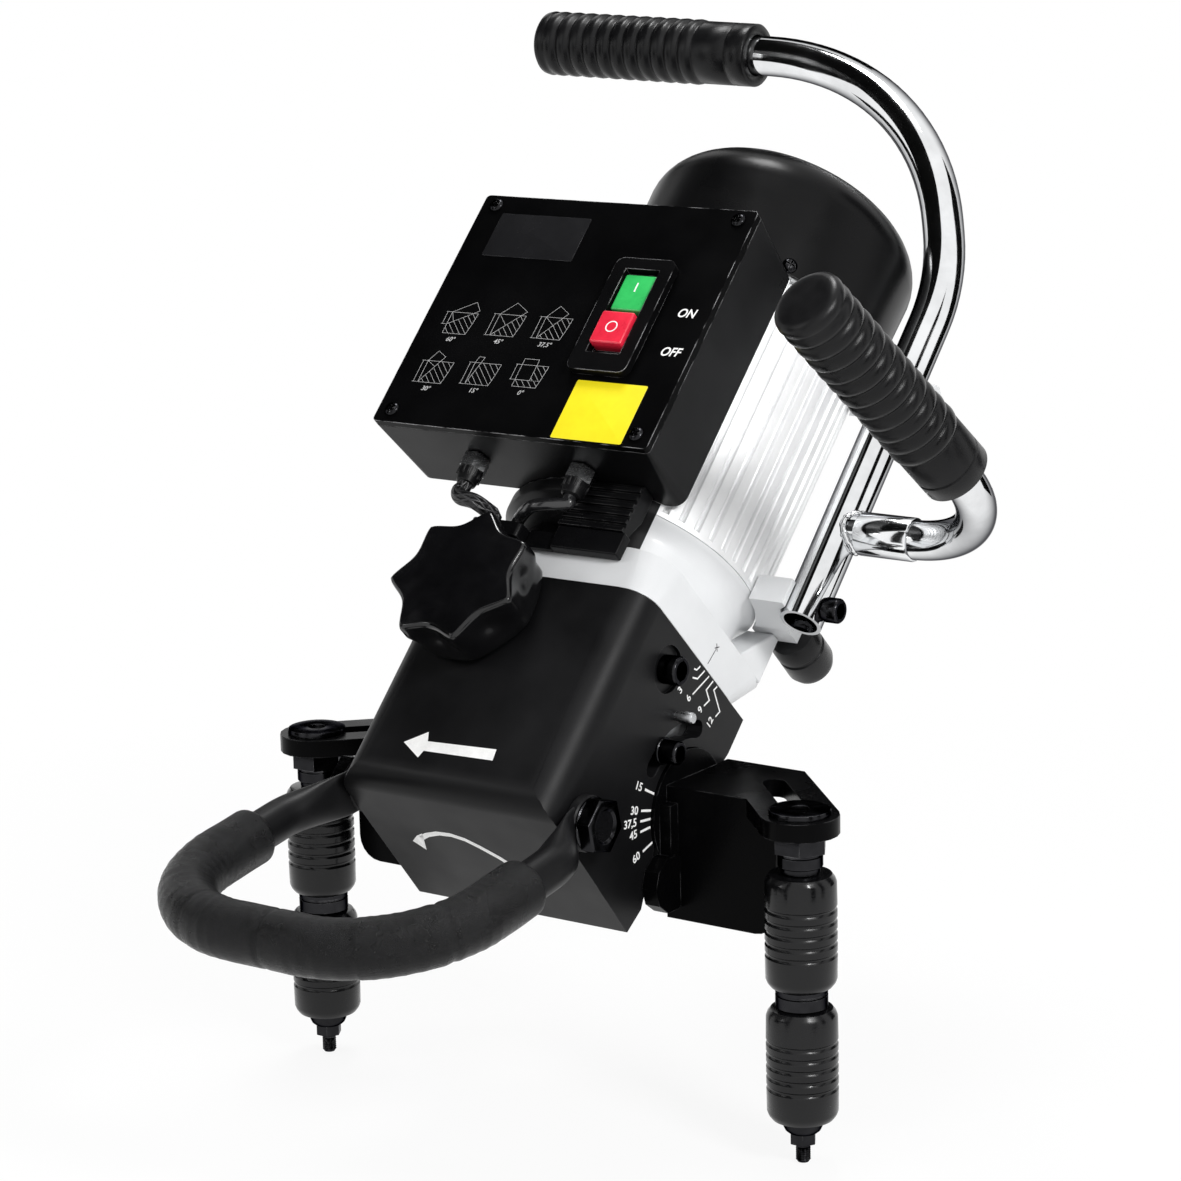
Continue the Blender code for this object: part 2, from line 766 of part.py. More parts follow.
def guide_half():
    """Right half of the guide: arm, fence and boss disc."""
    arm = [Vector((GUIDE_INNER, ARM_BACK_Y)), Vector((GUIDE_INNER, -FENCE_BACK)),
           Vector((INNER_SUM + FENCE_BACK, -FENCE_BACK))]
    end = arc(ARM_END_RADIUS, -0.75 * math.pi, 0.25 * math.pi, 1.5 * ARC_STEP)
    arm += [point + Vector((STUD_X, STUD_Y)) for point in end]
    arm.append(Vector((OUTER_SUM - ARM_BACK_Y, ARM_BACK_Y)))
    solid = prism(arm, GUIDE_UNDERSIDE, ARM_TOP)
    fence_end = GUIDE_INNER + FENCE_LENGTH
    corners = rectangle(GUIDE_INNER, fence_end, -FENCE_DEPTH, ARM_TOP)
    outline = rounded(corners, [0, FENCE_CORNER, 0, 0])
    fence = prism(outline, FENCE_FACE, FENCE_BACK, frontways)
    disc = prism(boss_outline(BOSS_RADIUS, GUIDE_UNDERSIDE), INNER_FACE, GUIDE_INNER + JOIN, sideways)
    lug_top = GUIDE_INNER + BOSS_LUG_THICKNESS
    lug = prism(circle(BOSS_LUG_RADIUS, SMALL_SIDES, (-FENCE_BACK - BOSS_LUG_SETBACK / 2, -BOSS_LUG_DROP)),
                GUIDE_INNER - JOIN / 2, lug_top, sideways)
    web = prism(rectangle(-FENCE_BACK - BOSS_LUG_SETBACK / 2, -FENCE_FACE - JOIN,
                          -BOSS_LUG_DROP - BOSS_LUG_RADIUS + JOIN, GUIDE_UNDERSIDE + JOIN),
                GUIDE_INNER - JOIN / 2, lug_top - JOIN, sideways)
    solid = join(solid, fence, disc, lug, web)
    slot = [Vector((STUD_X, STUD_Y)) + point
            for point in arc(SLOT_WIDTH / 2, -0.75 * math.pi, 0.25 * math.pi, 2 * ARC_STEP)]
    back = Vector((STUD_X, STUD_Y)) + Vector((-SLOT_LENGTH, SLOT_LENGTH)) / math.sqrt(2)
    slot += [back + point
             for point in arc(SLOT_WIDTH / 2, 0.25 * math.pi, 1.25 * math.pi, 2 * ARC_STEP)]
    return cut(solid, prism(slot, GUIDE_UNDERSIDE - OVERRUN, ARM_TOP + OVERRUN))


def boss_outline(radius, step_height):
    """Disc about the pivot, open where the workpiece edge runs."""
    right = math.asin(step_height / radius)
    left = math.pi + math.acos(FENCE_FACE / radius)
    return arc(radius, right, left) + [Vector((-FENCE_FACE, step_height))]


right_half = guide_half()
tie = prism(rectangle(-GUIDE_INNER - JOIN, GUIDE_INNER + JOIN, TIE_NEAR, TIE_FAR),
            GUIDE_UNDERSIDE, GUIDE_UNDERSIDE + TIE_THICKNESS)
piece("guide_casting", join(tie, right_half, moved(right_half, MIRROR_X)), "black_paint", pivot)

CLAMP_Y = CLAMP_RADIUS * math.cos(CLAMP_ANGLE)
CLAMP_Z = CLAMP_RADIUS * math.sin(CLAMP_ANGLE)
plate_face = INNER_FACE - GAP
plate = prism(boss_outline(PLATE_RADIUS, GUIDE_UNDERSIDE + TIE_THICKNESS + GAP),
              plate_face - PLATE_THICKNESS, plate_face, sideways)
plate_bore = prism(circle(CLAMP_SHANK + GAP, SMALL_SIDES, (CLAMP_Y, CLAMP_Z)),
                   plate_face - PLATE_THICKNESS - OVERRUN, plate_face + OVERRUN, sideways)
pair("clamp_plate", cut(plate, plate_bore), "steel", pivot)

clamp = socket_screw(CLAMP_SHANK, SIDE_WALL + PLATE_THICKNESS, CLAMP_HEAD, CLAMP_HEAD_HEIGHT,
                     CLAMP_SOCKET, CLAMP_SOCKET_DEPTH, CLAMP_WASHER, CLAMP_WASHER_THICKNESS)
clamp = moved(clamp, shift(HOUSING_HALF + GAP, CLAMP_Y, CLAMP_Z) @ turn(math.pi / 2, "Y"))
pair("angle_clamp_screw", clamp, "black_steel", pivot)

# Roller stacks under the arms
NUT_TOP = GUIDE_UNDERSIDE - GAP
COLLAR_TOP = NUT_TOP - STUD_NUT_HEIGHT + JOIN / 2
TOP_WASHER_TOP = COLLAR_TOP - COLLAR_HEIGHT
ROLLER_TOP = TOP_WASHER_TOP - TOP_WASHER_HEIGHT - GAP
SPACER_TOP = ROLLER_TOP - ROLLER_HEIGHT - GAP
LOW_ROLLER_TOP = SPACER_TOP - SPACER_HEIGHT - GAP
LOW_WASHER_TOP = LOW_ROLLER_TOP - ROLLER_HEIGHT - GAP
END_NUT_TOP = LOW_WASHER_TOP - LOW_WASHER_HEIGHT
STUD_END = END_NUT_TOP - END_NUT_HEIGHT - STUD_TAIL


def roller_stud():
    """Bolt from the arm's top down the stack, with its nut, collar and washer."""
    head_low = ARM_TOP + GAP
    washer_low = TOP_WASHER_TOP - TOP_WASHER_HEIGHT
    thread_top = LOW_WASHER_TOP + GAP
    profile = [(0, STUD_END), (STUD_THREAD, STUD_END), (STUD_THREAD, thread_top),
               (AXLE_RADIUS, thread_top), (AXLE_RADIUS, washer_low), (TOP_WASHER_RADIUS, washer_low),
               (TOP_WASHER_RADIUS, TOP_WASHER_TOP), (COLLAR_RADIUS, TOP_WASHER_TOP),
               (COLLAR_RADIUS, COLLAR_TOP), (STUD_SHANK, COLLAR_TOP), (STUD_SHANK, head_low + JOIN),
               (0, head_low + JOIN)]
    nut = hexagon(STUD_NUT_FLATS, NUT_TOP - STUD_NUT_HEIGHT, NUT_TOP)
    head_top = head_low + STUD_HEAD_HEIGHT
    head_disc = turned([(0, head_low), (STUD_HEAD_RADIUS, head_low),
                        (STUD_HEAD_RADIUS, head_top - STUD_HEAD_EDGE),
                        (STUD_HEAD_RADIUS - STUD_HEAD_EDGE, head_top), (0, head_top)], INNER_SIDES)
    key = prism(circle(STUD_SOCKET, HEX_SIDES), head_top - STUD_SOCKET_DEPTH, head_top + OVERRUN)
    return join(turned(profile, SMALL_SIDES), nut, cut(head_disc, key))


def roller():
    """Barrel roller with rounded ends and shallow grooves."""
    outline = [(ROLLER_END_RADIUS, 0), (ROLLER_RADIUS - ROLLER_GROOVE_DEPTH, ROLLER_ROUNDING / 2),
               (ROLLER_RADIUS, ROLLER_ROUNDING)]
    plain = ROLLER_HEIGHT - 2 * ROLLER_ROUNDING
    for number in range(ROLLER_GROOVES):
        middle = ROLLER_ROUNDING + plain * (number + 1) / (ROLLER_GROOVES + 1)
        outline += [(ROLLER_RADIUS, middle - ROLLER_GROOVE_WIDTH / 2),
                    (ROLLER_RADIUS - ROLLER_GROOVE_DEPTH, middle),
                    (ROLLER_RADIUS, middle + ROLLER_GROOVE_WIDTH / 2)]
    outline += [(ROLLER_RADIUS, ROLLER_HEIGHT - ROLLER_ROUNDING),
                (ROLLER_RADIUS - ROLLER_GROOVE_DEPTH, ROLLER_HEIGHT - ROLLER_ROUNDING / 2),
                (ROLLER_END_RADIUS, ROLLER_HEIGHT)]
    bore = AXLE_RADIUS + GAP
    return turned([(bore, 0)] + outline + [(bore, ROLLER_HEIGHT)], ROLLER_SIDES)


low_washer = turned([(LOW_WASHER_RADIUS, LOW_WASHER_TOP - LOW_WASHER_HEIGHT - JOIN / 2),
                     (LOW_WASHER_RADIUS, LOW_WASHER_TOP), (STUD_THREAD + GAP, LOW_WASHER_TOP),
                     (STUD_THREAD + GAP, LOW_WASHER_TOP - LOW_WASHER_HEIGHT - JOIN / 2)], SMALL_SIDES)
end_nut = join(low_washer,
               hexagon(END_NUT_FLATS, END_NUT_TOP - END_NUT_HEIGHT, END_NUT_TOP, STUD_THREAD + GAP))
spacer = ring_solid(SPACER_RADIUS, AXLE_RADIUS + GAP, SPACER_TOP - SPACER_HEIGHT, SPACER_TOP, SMALL_SIDES)
to_stud = shift(STUD_X, STUD_Y, 0)
pair("roller_stud", moved(roller_stud(), to_stud), "steel", pivot)
pair("roller_spacer", moved(spacer, to_stud), "black_steel", pivot)
pair("roller_end_nut", moved(end_nut, to_stud), "steel", pivot)
for side, x in (("left", -STUD_X), ("right", STUD_X)):
    for level, top in (("upper", ROLLER_TOP), ("lower", LOW_ROLLER_TOP)):
        piece("roller_" + side + "_" + level, roller(), "black_plastic", pivot,
              (x, STUD_Y, top - ROLLER_HEIGHT))

# Angle housing
FRONT_INNER = HOUSING_FRONT - SIDE_WALL
OPENING_RADIUS = BOSS_RADIUS + BOSS_CLEARANCE
STRIP_FRONT = REAR_STRIP - HOUSING_REAR


def angle_housing():
    """Hollow head with a circular guideway and arc slot in each side wall."""
    side = rounded([Vector((-HOUSING_HEEL_FORWARD, -HOUSING_HEEL)), Vector((-HOUSING_FRONT, -HOUSING_TOE)),
                    Vector((-HOUSING_FRONT, HOUSING_TOP)), Vector((HOUSING_REAR, HOUSING_TOP)),
                    Vector((HOUSING_REAR, HOUSING_REAR_LOW))], [0, HOUSING_TOE_ROUNDING, 0, 0, 0])
    side += arc(OPENING_RADIUS, BOSS_OPENING_TOP, BOSS_OPENING_END, ARC_STEP)
    side += [Vector((0, -HOUSING_HORN))]
    solid = prism(side, -HOUSING_HALF, HOUSING_HALF, sideways)
    plan = rounded(rectangle(-HOUSING_HALF, HOUSING_HALF, -HOUSING_FRONT, HOUSING_REAR + OVERRUN),
                   [HOUSING_CORNER, HOUSING_CORNER, 0, 0])
    solid = boolean(solid, prism(plan, -HOUSING_HEEL - OVERRUN, HOUSING_TOP + OVERRUN), "INTERSECT")
    below = HOUSING_HEEL + OVERRUN
    floor_slope = (HOUSING_HEEL - HOUSING_TOE) / (HOUSING_FRONT - HOUSING_HEEL_FORWARD)
    floor_rear = -HOUSING_HEEL + SIDE_WALL
    floor_front = floor_rear + floor_slope * (FRONT_INNER - HOUSING_HEEL_FORWARD)
    inside = [Vector((-FRONT_INNER, floor_front)), Vector((-FRONT_INNER, HOUSING_TOP + OVERRUN)),
              Vector((-STRIP_FRONT, HOUSING_TOP + OVERRUN)), Vector((-STRIP_FRONT, HOUSING_TOP - TOP_WALL)),
              Vector((below, HOUSING_TOP - TOP_WALL)), Vector((below, floor_rear))]
    return cut(solid, prism(inside, -INNER_FACE, INNER_FACE, sideways))


def arc_slot():
    """Arc slot through one side wall, centred on the pivot."""
    inner = arc(CLAMP_RADIUS - ARC_SLOT_WIDTH / 2, ARC_SLOT_START, ARC_SLOT_END, ARC_STEP / 1.5)
    outer = arc(CLAMP_RADIUS + ARC_SLOT_WIDTH / 2, ARC_SLOT_END, ARC_SLOT_START, ARC_STEP / 1.5)
    first = Vector((math.cos(ARC_SLOT_START), math.sin(ARC_SLOT_START))) * CLAMP_RADIUS
    last = Vector((math.cos(ARC_SLOT_END), math.sin(ARC_SLOT_END))) * CLAMP_RADIUS
    half = ARC_SLOT_WIDTH / 2
    far_end = [last + p for p in arc(half, ARC_SLOT_END + math.pi, ARC_SLOT_END, 3 * ARC_STEP)][1:-1]
    near_end = [first + p for p in arc(half, ARC_SLOT_START, ARC_SLOT_START - math.pi, 3 * ARC_STEP)][1:-1]
    return inner + far_end + outer + near_end


def side_cut(outline, low=None, high=None):
    """The same cut through both side walls."""
    low = INNER_FACE - OVERRUN if low is None else low
    high = HOUSING_HALF + OVERRUN if high is None else high
    return both_sides(prism(outline, low, high, sideways))


PIN_Y = PIN_PATH_RADIUS * math.cos(PIN_ANGLE)
PIN_Z = PIN_PATH_RADIUS * math.sin(PIN_ANGLE)
housing = cut(
    angle_housing(),
    side_cut(arc_slot()),
    side_cut(circle(LOCK_RECESS_RADIUS, ROUND_SIDES, (-LOCK_FORWARD, LOCK_UP)),
             HOUSING_HALF - LOCK_RECESS_DEPTH),
    side_cut(circle(LOCK_SHANK + GAP, SMALL_SIDES, (-LOCK_FORWARD, LOCK_UP))),
    side_cut(circle(BOLT_SHANK + 1.5 * GAP, SMALL_SIDES, (-BOLT_FORWARD, BOLT_UP))),
    prism(circle(FEED_RADIUS + GAP, SMALL_SIDES, (KNOB_X, KNOB_UP)),
          FRONT_INNER - OVERRUN, HOUSING_FRONT + OVERRUN, frontways),
)
pin = prism(circle(PIN_RADIUS, SMALL_SIDES, (PIN_Y, PIN_Z)), HOUSING_HALF - PIN_SEAT_DEPTH,
            HOUSING_HALF + PIN_PROUD, sideways)
piece("angle_housing", join(housing, both_sides(pin)), "black_paint", head)

lock = socket_screw(LOCK_SHANK, SIDE_WALL - LOCK_RECESS_DEPTH - GAP, LOCK_HEAD, LOCK_HEAD_HEIGHT,
                    LOCK_SOCKET, LOCK_SOCKET_DEPTH)
lock = moved(lock, shift(HOUSING_HALF - LOCK_RECESS_DEPTH + GAP, -LOCK_FORWARD, LOCK_UP)
             @ turn(math.pi / 2, "Y"))
pair("slide_lock_screw", lock, "black_steel", head)

EYE_INNER = HOUSING_HALF + GAP
EYE_OUTER = EYE_INNER + EYE_THICKNESS
bolt = turned([(0, -SIDE_WALL - EYE_THICKNESS), (BOLT_SHANK, -SIDE_WALL - EYE_THICKNESS), (BOLT_SHANK, 0),
               (BOLT_WASHER, 0), (BOLT_WASHER, BOLT_WASHER_THICKNESS), (0, BOLT_WASHER_THICKNESS)],
              SMALL_SIDES)
bolt = join(bolt, hexagon(BOLT_FLATS, BOLT_WASHER_THICKNESS - JOIN / 2,
                          BOLT_WASHER_THICKNESS + BOLT_HEAD_HEIGHT))
bolt = moved(bolt, shift(EYE_OUTER + GAP, -BOLT_FORWARD, BOLT_UP) @ turn(math.pi / 2, "Y"))
pair("handle_bolt", bolt, "black_steel", head)

# Star knob and feed screw, both on the knob's axis with +Z to the operator


def knob_ring(tip, depth, height):
    """Ring with wide scallops between narrow lobes, from the tips' radius and the scallops' depth."""
    count = KNOB_LOBES * KNOB_LOBE_POINTS
    ring = []
    for number in range(count):
        away = abs(math.sin(KNOB_LOBES * math.pi * number / count))
        radius = tip - depth * away * away / (away + KNOB_TIP_SHARE) * (1 + KNOB_TIP_SHARE)
        angle = KNOB_LOBE_TURN + math.tau * number / count
        ring.append(Vector((radius * math.cos(angle), radius * math.sin(angle), height)))
    return ring


knob_top = KNOB_HUB_HEIGHT + KNOB_THICKNESS
knob_body = loft([knob_ring(KNOB_BASE_RADIUS - KNOB_ROUNDING / 2, KNOB_LOBE / 6, KNOB_HUB_HEIGHT),
                  knob_ring(KNOB_BASE_RADIUS, KNOB_LOBE / 4, KNOB_HUB_HEIGHT + KNOB_ROUNDING),
                  knob_ring(KNOB_BASE_RADIUS, KNOB_LOBE / 2, KNOB_HUB_HEIGHT + KNOB_FLARE_LOW),
                  knob_ring(KNOB_RADIUS, KNOB_LOBE, KNOB_HUB_HEIGHT + KNOB_FLARE_TOP),
                  knob_ring(KNOB_RADIUS, KNOB_LOBE, knob_top - KNOB_ROUNDING),
                  knob_ring(KNOB_RADIUS - KNOB_ROUNDING / 2, KNOB_LOBE, knob_top - KNOB_ROUNDING / 4),
                  knob_ring(KNOB_RADIUS / 2, KNOB_LOBE / 4, knob_top + KNOB_DOME)])
hub = turned([(0, 0), (KNOB_HUB, 0), (KNOB_HUB, KNOB_HUB_HEIGHT + JOIN), (0, KNOB_HUB_HEIGHT + JOIN)],
             SMALL_SIDES)
knob_bore = prism(circle(FEED_RADIUS + GAP, SMALL_SIDES), -OVERRUN, KNOB_BORE_DEPTH + GAP)
piece("star_knob", cut(join(knob_body, hub), knob_bore), "black_plastic", knob)

collar_top = -SIDE_WALL - 2 * GAP
feed = turned([(0, -FEED_LENGTH), (FEED_RADIUS, -FEED_LENGTH),
               (FEED_RADIUS, collar_top - FEED_COLLAR_THICKNESS),
               (FEED_COLLAR, collar_top - FEED_COLLAR_THICKNESS), (FEED_COLLAR, collar_top),
               (FEED_RADIUS, collar_top), (FEED_RADIUS, KNOB_BORE_DEPTH), (0, KNOB_BORE_DEPTH)],
              SMALL_SIDES)
piece("feed_screw", feed, "steel", knob)

# Front handle: a loop of tube with flattened eyes


def handle_path():
    start = EYE_INNER + EYE_THICKNESS / 2
    corners = [(start, 0, 0), (start, -EYE_LENGTH, 0), (HANDLE_HALF_WIDTH, -EYE_LENGTH - EYE_TAPER, 0),
               (HANDLE_HALF_WIDTH, -HANDLE_REACH, 0), (-HANDLE_HALF_WIDTH, -HANDLE_REACH, 0),
               (-HANDLE_HALF_WIDTH, -EYE_LENGTH - EYE_TAPER, 0), (-start, -EYE_LENGTH, 0), (-start, 0, 0)]
    return [Vector(corner) for corner in corners]


def handle_loop_path():
    corners = handle_path()
    middle = filleted_path(corners[2:6], [HANDLE_CORNER, HANDLE_CORNER], TUBE_STEP)
    return corners[:2] + middle + corners[6:]


UP = Vector((0, 0, 1))
loop = handle_loop_path()
flat = (EYE_THICKNESS / 2 - GAP, EYE_RADIUS - JOIN)
loop_sizes = [flat, flat] + [(HANDLE_TUBE, HANDLE_TUBE)] * (len(loop) - 4) + [flat, flat]
eye = prism(circle(EYE_RADIUS, SMALL_SIDES), EYE_INNER, EYE_OUTER, sideways)
eye_bore = prism(circle(BOLT_SHANK + GAP, SMALL_SIDES), EYE_INNER - OVERRUN, EYE_OUTER + OVERRUN, sideways)
handle_tube = loft(sections(loop, loop_sizes, TUBE_SIDES, UP))
handle_tube = join(handle_tube, eye, moved(eye, MIRROR_X))
handle_tube = cut(handle_tube, eye_bore, moved(eye_bore, MIRROR_X))
piece("front_handle_tube", handle_tube, "black_paint", handle)

whole = length_of(loop)
grip_path = stretch_of(loop, HANDLE_GRIP_START, whole - HANDLE_GRIP_START)
grip_wall = HANDLE_GRIP - HANDLE_TUBE - GAP
piece("front_handle_grip", tube(grip_path, HANDLE_GRIP, grip_wall, UP), "foam", handle)

# Depth slide housing with the motor's front end shield
SLAB_LOW = HOUSING_TOP + GAP
SLAB_TOP = SLAB_LOW + SLAB_THICKNESS
SHIELD_TOP = SLAB_TOP + SHIELD_HEIGHT


def ring_at(height, half, front, rear, corner):
    return [Vector((x, y, height)) for x, y in box_ring(half, front, rear, corner)]


def blend(share):
    """Ring of the end shield between the ridge and the round motor."""
    ease = math.sin(share * math.pi / 2)
    return ring_at(SLAB_TOP + SHIELD_HEIGHT * share,
                   HOUSING_HALF + (SHIELD_RADIUS - HOUSING_HALF) * ease,
                   SLIDE_FRONT + (SHIELD_RADIUS - SLIDE_FRONT) * ease,
                   SHIELD_REAR + (SHIELD_RADIUS - SHIELD_REAR) * ease,
                   RIDGE_CORNER + (SHIELD_RADIUS - RIDGE_CORNER) * ease)


slide = loft([ring_at(SLAB_LOW, HOUSING_HALF, SLIDE_FRONT, SLIDE_REAR, SLAB_CORNER),
              ring_at(SLAB_LOW + JOIN, HOUSING_HALF, SLIDE_FRONT, SLIDE_REAR, SLAB_CORNER),
              ring_at(SLAB_TOP, HOUSING_HALF, SLIDE_FRONT, SHIELD_REAR, RIDGE_CORNER)]
             + [blend(number / 4) for number in range(1, 5)])
slide = join(
    slide,
    prism(circle(NOSE_RADIUS), SLAB_LOW - NOSE_LENGTH, SLAB_LOW + JOIN),
    both_sides(prism(rectangle(INNER_FACE - GAP - SKIRT_THICKNESS, INNER_FACE - GAP, -SKIRT_NEAR, -SKIRT_FAR),
                     SLAB_LOW - SKIRT_DEPTH, SLAB_LOW + JOIN)),
    prism(rectangle(KNOB_X - LUG_HALF, KNOB_X + LUG_HALF, -LUG_NEAR, -LUG_FAR),
          SLAB_LOW - LUG_DEPTH, SLAB_LOW + JOIN),
)
BEARING_TOP = SLAB_LOW + BEARING_HEIGHT + GAP
bearing_seat = turned([(0, SLAB_LOW - NOSE_LENGTH - OVERRUN),
                       (SHAFT_RADIUS + OVERRUN, SLAB_LOW - NOSE_LENGTH - OVERRUN),
                       (SHAFT_RADIUS + OVERRUN, SLAB_LOW), (BEARING_RADIUS + GAP, SLAB_LOW),
                       (BEARING_RADIUS + GAP, BEARING_TOP), (WINDING_OUTER, SLAB_TOP + SHIELD_HEIGHT / 3),
                       (STATOR_RADIUS, SHIELD_TOP + OVERRUN), (0, SHIELD_TOP + OVERRUN)])
feed_bore = prism(circle(FEED_RADIUS + GAP, SMALL_SIDES, (KNOB_X, KNOB_UP)), LUG_FAR - LUG_HALF,
                  LUG_NEAR + OVERRUN, frontways)
EARTH_FORWARD = SLIDE_FRONT + (SHIELD_RADIUS - SLIDE_FRONT) * math.sin(
    (EARTH_UP - SLAB_TOP) / SHIELD_HEIGHT * math.pi / 2)
earth = turned([(0, -JOIN), (EARTH_HEAD, -JOIN), (EARTH_HEAD, EARTH_HEAD_HEIGHT / 2),
                (EARTH_HEAD / 2, EARTH_HEAD_HEIGHT), (0, EARTH_HEAD_HEIGHT)], SMALL_SIDES)
earth = moved(earth, shift(EARTH_X, -EARTH_FORWARD, EARTH_UP) @ turn(math.pi / 2, "X"))
piece("slide_housing", join(cut(slide, bearing_seat, feed_bore), earth), "grey_paint", motor)

# Motor frame with its fins, windings and bearings
FRAME_LOW = SHIELD_TOP + GAP
FRAME_TOP = BOX_LOW + BOX_LENGTH + COWL_CLEARANCE
STATOR_LOW = FRAME_LOW + STATOR_LIFT
STATOR_TOP = STATOR_LOW + STATOR_LENGTH


def fin_outline():
    """Root and tip points of all fins, in order round the frame."""
    outline = []
    for number in range(FIN_COUNT):
        for share, radius in zip(FIN_SHARES, (FRAME_CORE, FIN_RADIUS, FIN_RADIUS, FRAME_CORE)):
            angle = math.tau * (number + share) / FIN_COUNT
            outline.append(Vector((radius * math.cos(angle), radius * math.sin(angle))))
    return outline


def bored_prism(outer, inner, low, high):
    """Outline swept along Z with a bore of the same point count."""
    return loft([[upright(p[0], p[1], h) for p in ring]
                 for ring, h in ((outer, low), (outer, high), (inner, high), (inner, low))], closed=True)


fins = fin_outline()
stator_ring = [point.normalized() * (STATOR_RADIUS + GAP) for point in fins]
piece("motor_frame", bored_prism(fins, stator_ring, FRAME_LOW, FRAME_TOP), "bright_aluminium", motor)
coil_low = STATOR_LOW - WINDING_HEIGHT
coil_top = STATOR_TOP + WINDING_HEIGHT
piece("stator", turned([(STATOR_RADIUS, STATOR_LOW), (STATOR_RADIUS, STATOR_TOP), (WINDING_OUTER, STATOR_TOP),
                        (WINDING_OUTER, coil_top), (WINDING_INNER, coil_top), (WINDING_INNER, STATOR_TOP),
                        (STATOR_BORE, STATOR_TOP), (STATOR_BORE, STATOR_LOW), (WINDING_INNER, STATOR_LOW),
                        (WINDING_INNER, coil_low), (WINDING_OUTER, coil_low), (WINDING_OUTER, STATOR_LOW)],
                       INNER_SIDES),
      "copper", motor)
piece("front_bearing", ring_solid(BEARING_RADIUS, SHAFT_RADIUS + GAP, SLAB_LOW + GAP, BEARING_TOP - GAP,
                                  INNER_SIDES),
      "steel", motor)
REAR_LOW = FRAME_TOP + GAP
REAR_TOP = REAR_LOW + REAR_SHIELD_THICKNESS
SHIELD_OUTER = COWL_LOW_RADIUS - COWL_WALL - GAP
rear_profile = [(SHIELD_OUTER, REAR_LOW), (SHIELD_OUTER, REAR_TOP), (SHAFT_RADIUS + OVERRUN, REAR_TOP),
                (SHAFT_RADIUS + OVERRUN, REAR_TOP - (REAR_SHIELD_THICKNESS - REAR_BEARING_HEIGHT) / 2),
                (REAR_BEARING_RADIUS + GAP, REAR_TOP - (REAR_SHIELD_THICKNESS - REAR_BEARING_HEIGHT) / 2),
                (REAR_BEARING_RADIUS + GAP, REAR_LOW)]
COWL_SCREW_UP = REAR_LOW + COWL_SCREW_LIFT / 2


def at_cowl_screws(solid):
    """Four copies of a solid that points along +X, round the cowl's rim."""
    angles = [-math.pi / 2 + COWL_SCREW_ANGLE + number * math.pi / 2 for number in range(4)]
    return together(*[moved(solid, turn(angle, "Z")) for angle in angles])


screw_bore = prism(circle(COWL_SCREW_SHANK + GAP, SMALL_SIDES, (0, COWL_SCREW_UP)),
                   COWL_RADIUS - COWL_SCREW_LENGTH - OVERRUN, COWL_RADIUS + OVERRUN, sideways)
piece("rear_shield", cut(turned(rear_profile, ROUND_SIDES), at_cowl_screws(screw_bore)), "grey_paint", motor)
piece("rear_bearing", ring_solid(REAR_BEARING_RADIUS, SHAFT_RADIUS + GAP,
                                 REAR_LOW, REAR_LOW + REAR_BEARING_HEIGHT, INNER_SIDES), "steel", motor)

# Fan cowl, a thin shell with air slots in its end
COWL_MID = REAR_LOW + COWL_HEIGHT
COWL_END = COWL_MID + COWL_DOME


def cowl_profile(inset):
    """Outer line of the cowl, moved inwards by inset."""
    dome = [(COWL_TOP_RADIUS + (COWL_RADIUS - COWL_TOP_RADIUS) * math.cos(angle),
             COWL_MID + COWL_DOME * math.sin(angle))
            for angle in [number * math.pi / 6 for number in range(4)]]
    line = [(COWL_LOW_RADIUS, REAR_LOW - GAP)] + dome
    shell = [(radius - inset, height - (inset if number == len(dome) else 0))
             for number, (radius, height) in enumerate(line)]
    return shell + [(0, COWL_END - inset)]


cowl = boolean(turned([(0, REAR_LOW - GAP)] + cowl_profile(0)),
               turned([(0, REAR_LOW - OVERRUN)] + [(COWL_LOW_RADIUS - COWL_WALL, REAR_LOW - OVERRUN)]
                      + cowl_profile(COWL_WALL)), "DIFFERENCE")
air_slot = prism(rectangle(COWL_SLOT_INNER, COWL_SLOT_OUTER, -COWL_SLOT_WIDTH / 2, COWL_SLOT_WIDTH / 2),
                 COWL_END - COWL_DOME / 2, COWL_END + OVERRUN)
air_slots = together(*[moved(air_slot, turn(math.tau * number / COWL_SLOTS, "Z"))
                       for number in range(COWL_SLOTS)])

cowl_screw = turned([(0, -COWL_SCREW_LENGTH), (COWL_SCREW_SHANK, -COWL_SCREW_LENGTH),
                     (COWL_SCREW_SHANK, -COWL_WALL / 2), (COWL_SCREW_HEAD, -COWL_WALL / 2),
                     (COWL_SCREW_HEAD / 2, COWL_SCREW_HEAD_HEIGHT), (0, COWL_SCREW_HEAD_HEIGHT)], SMALL_SIDES)
cowl_screw = moved(cowl_screw, shift(COWL_LOW_RADIUS, 0, COWL_SCREW_UP) @ turn(math.pi / 2, "Y"))
piece("fan_cowl", join(cut(cowl, air_slots), at_cowl_screws(cowl_screw)), "black_plastic", motor)

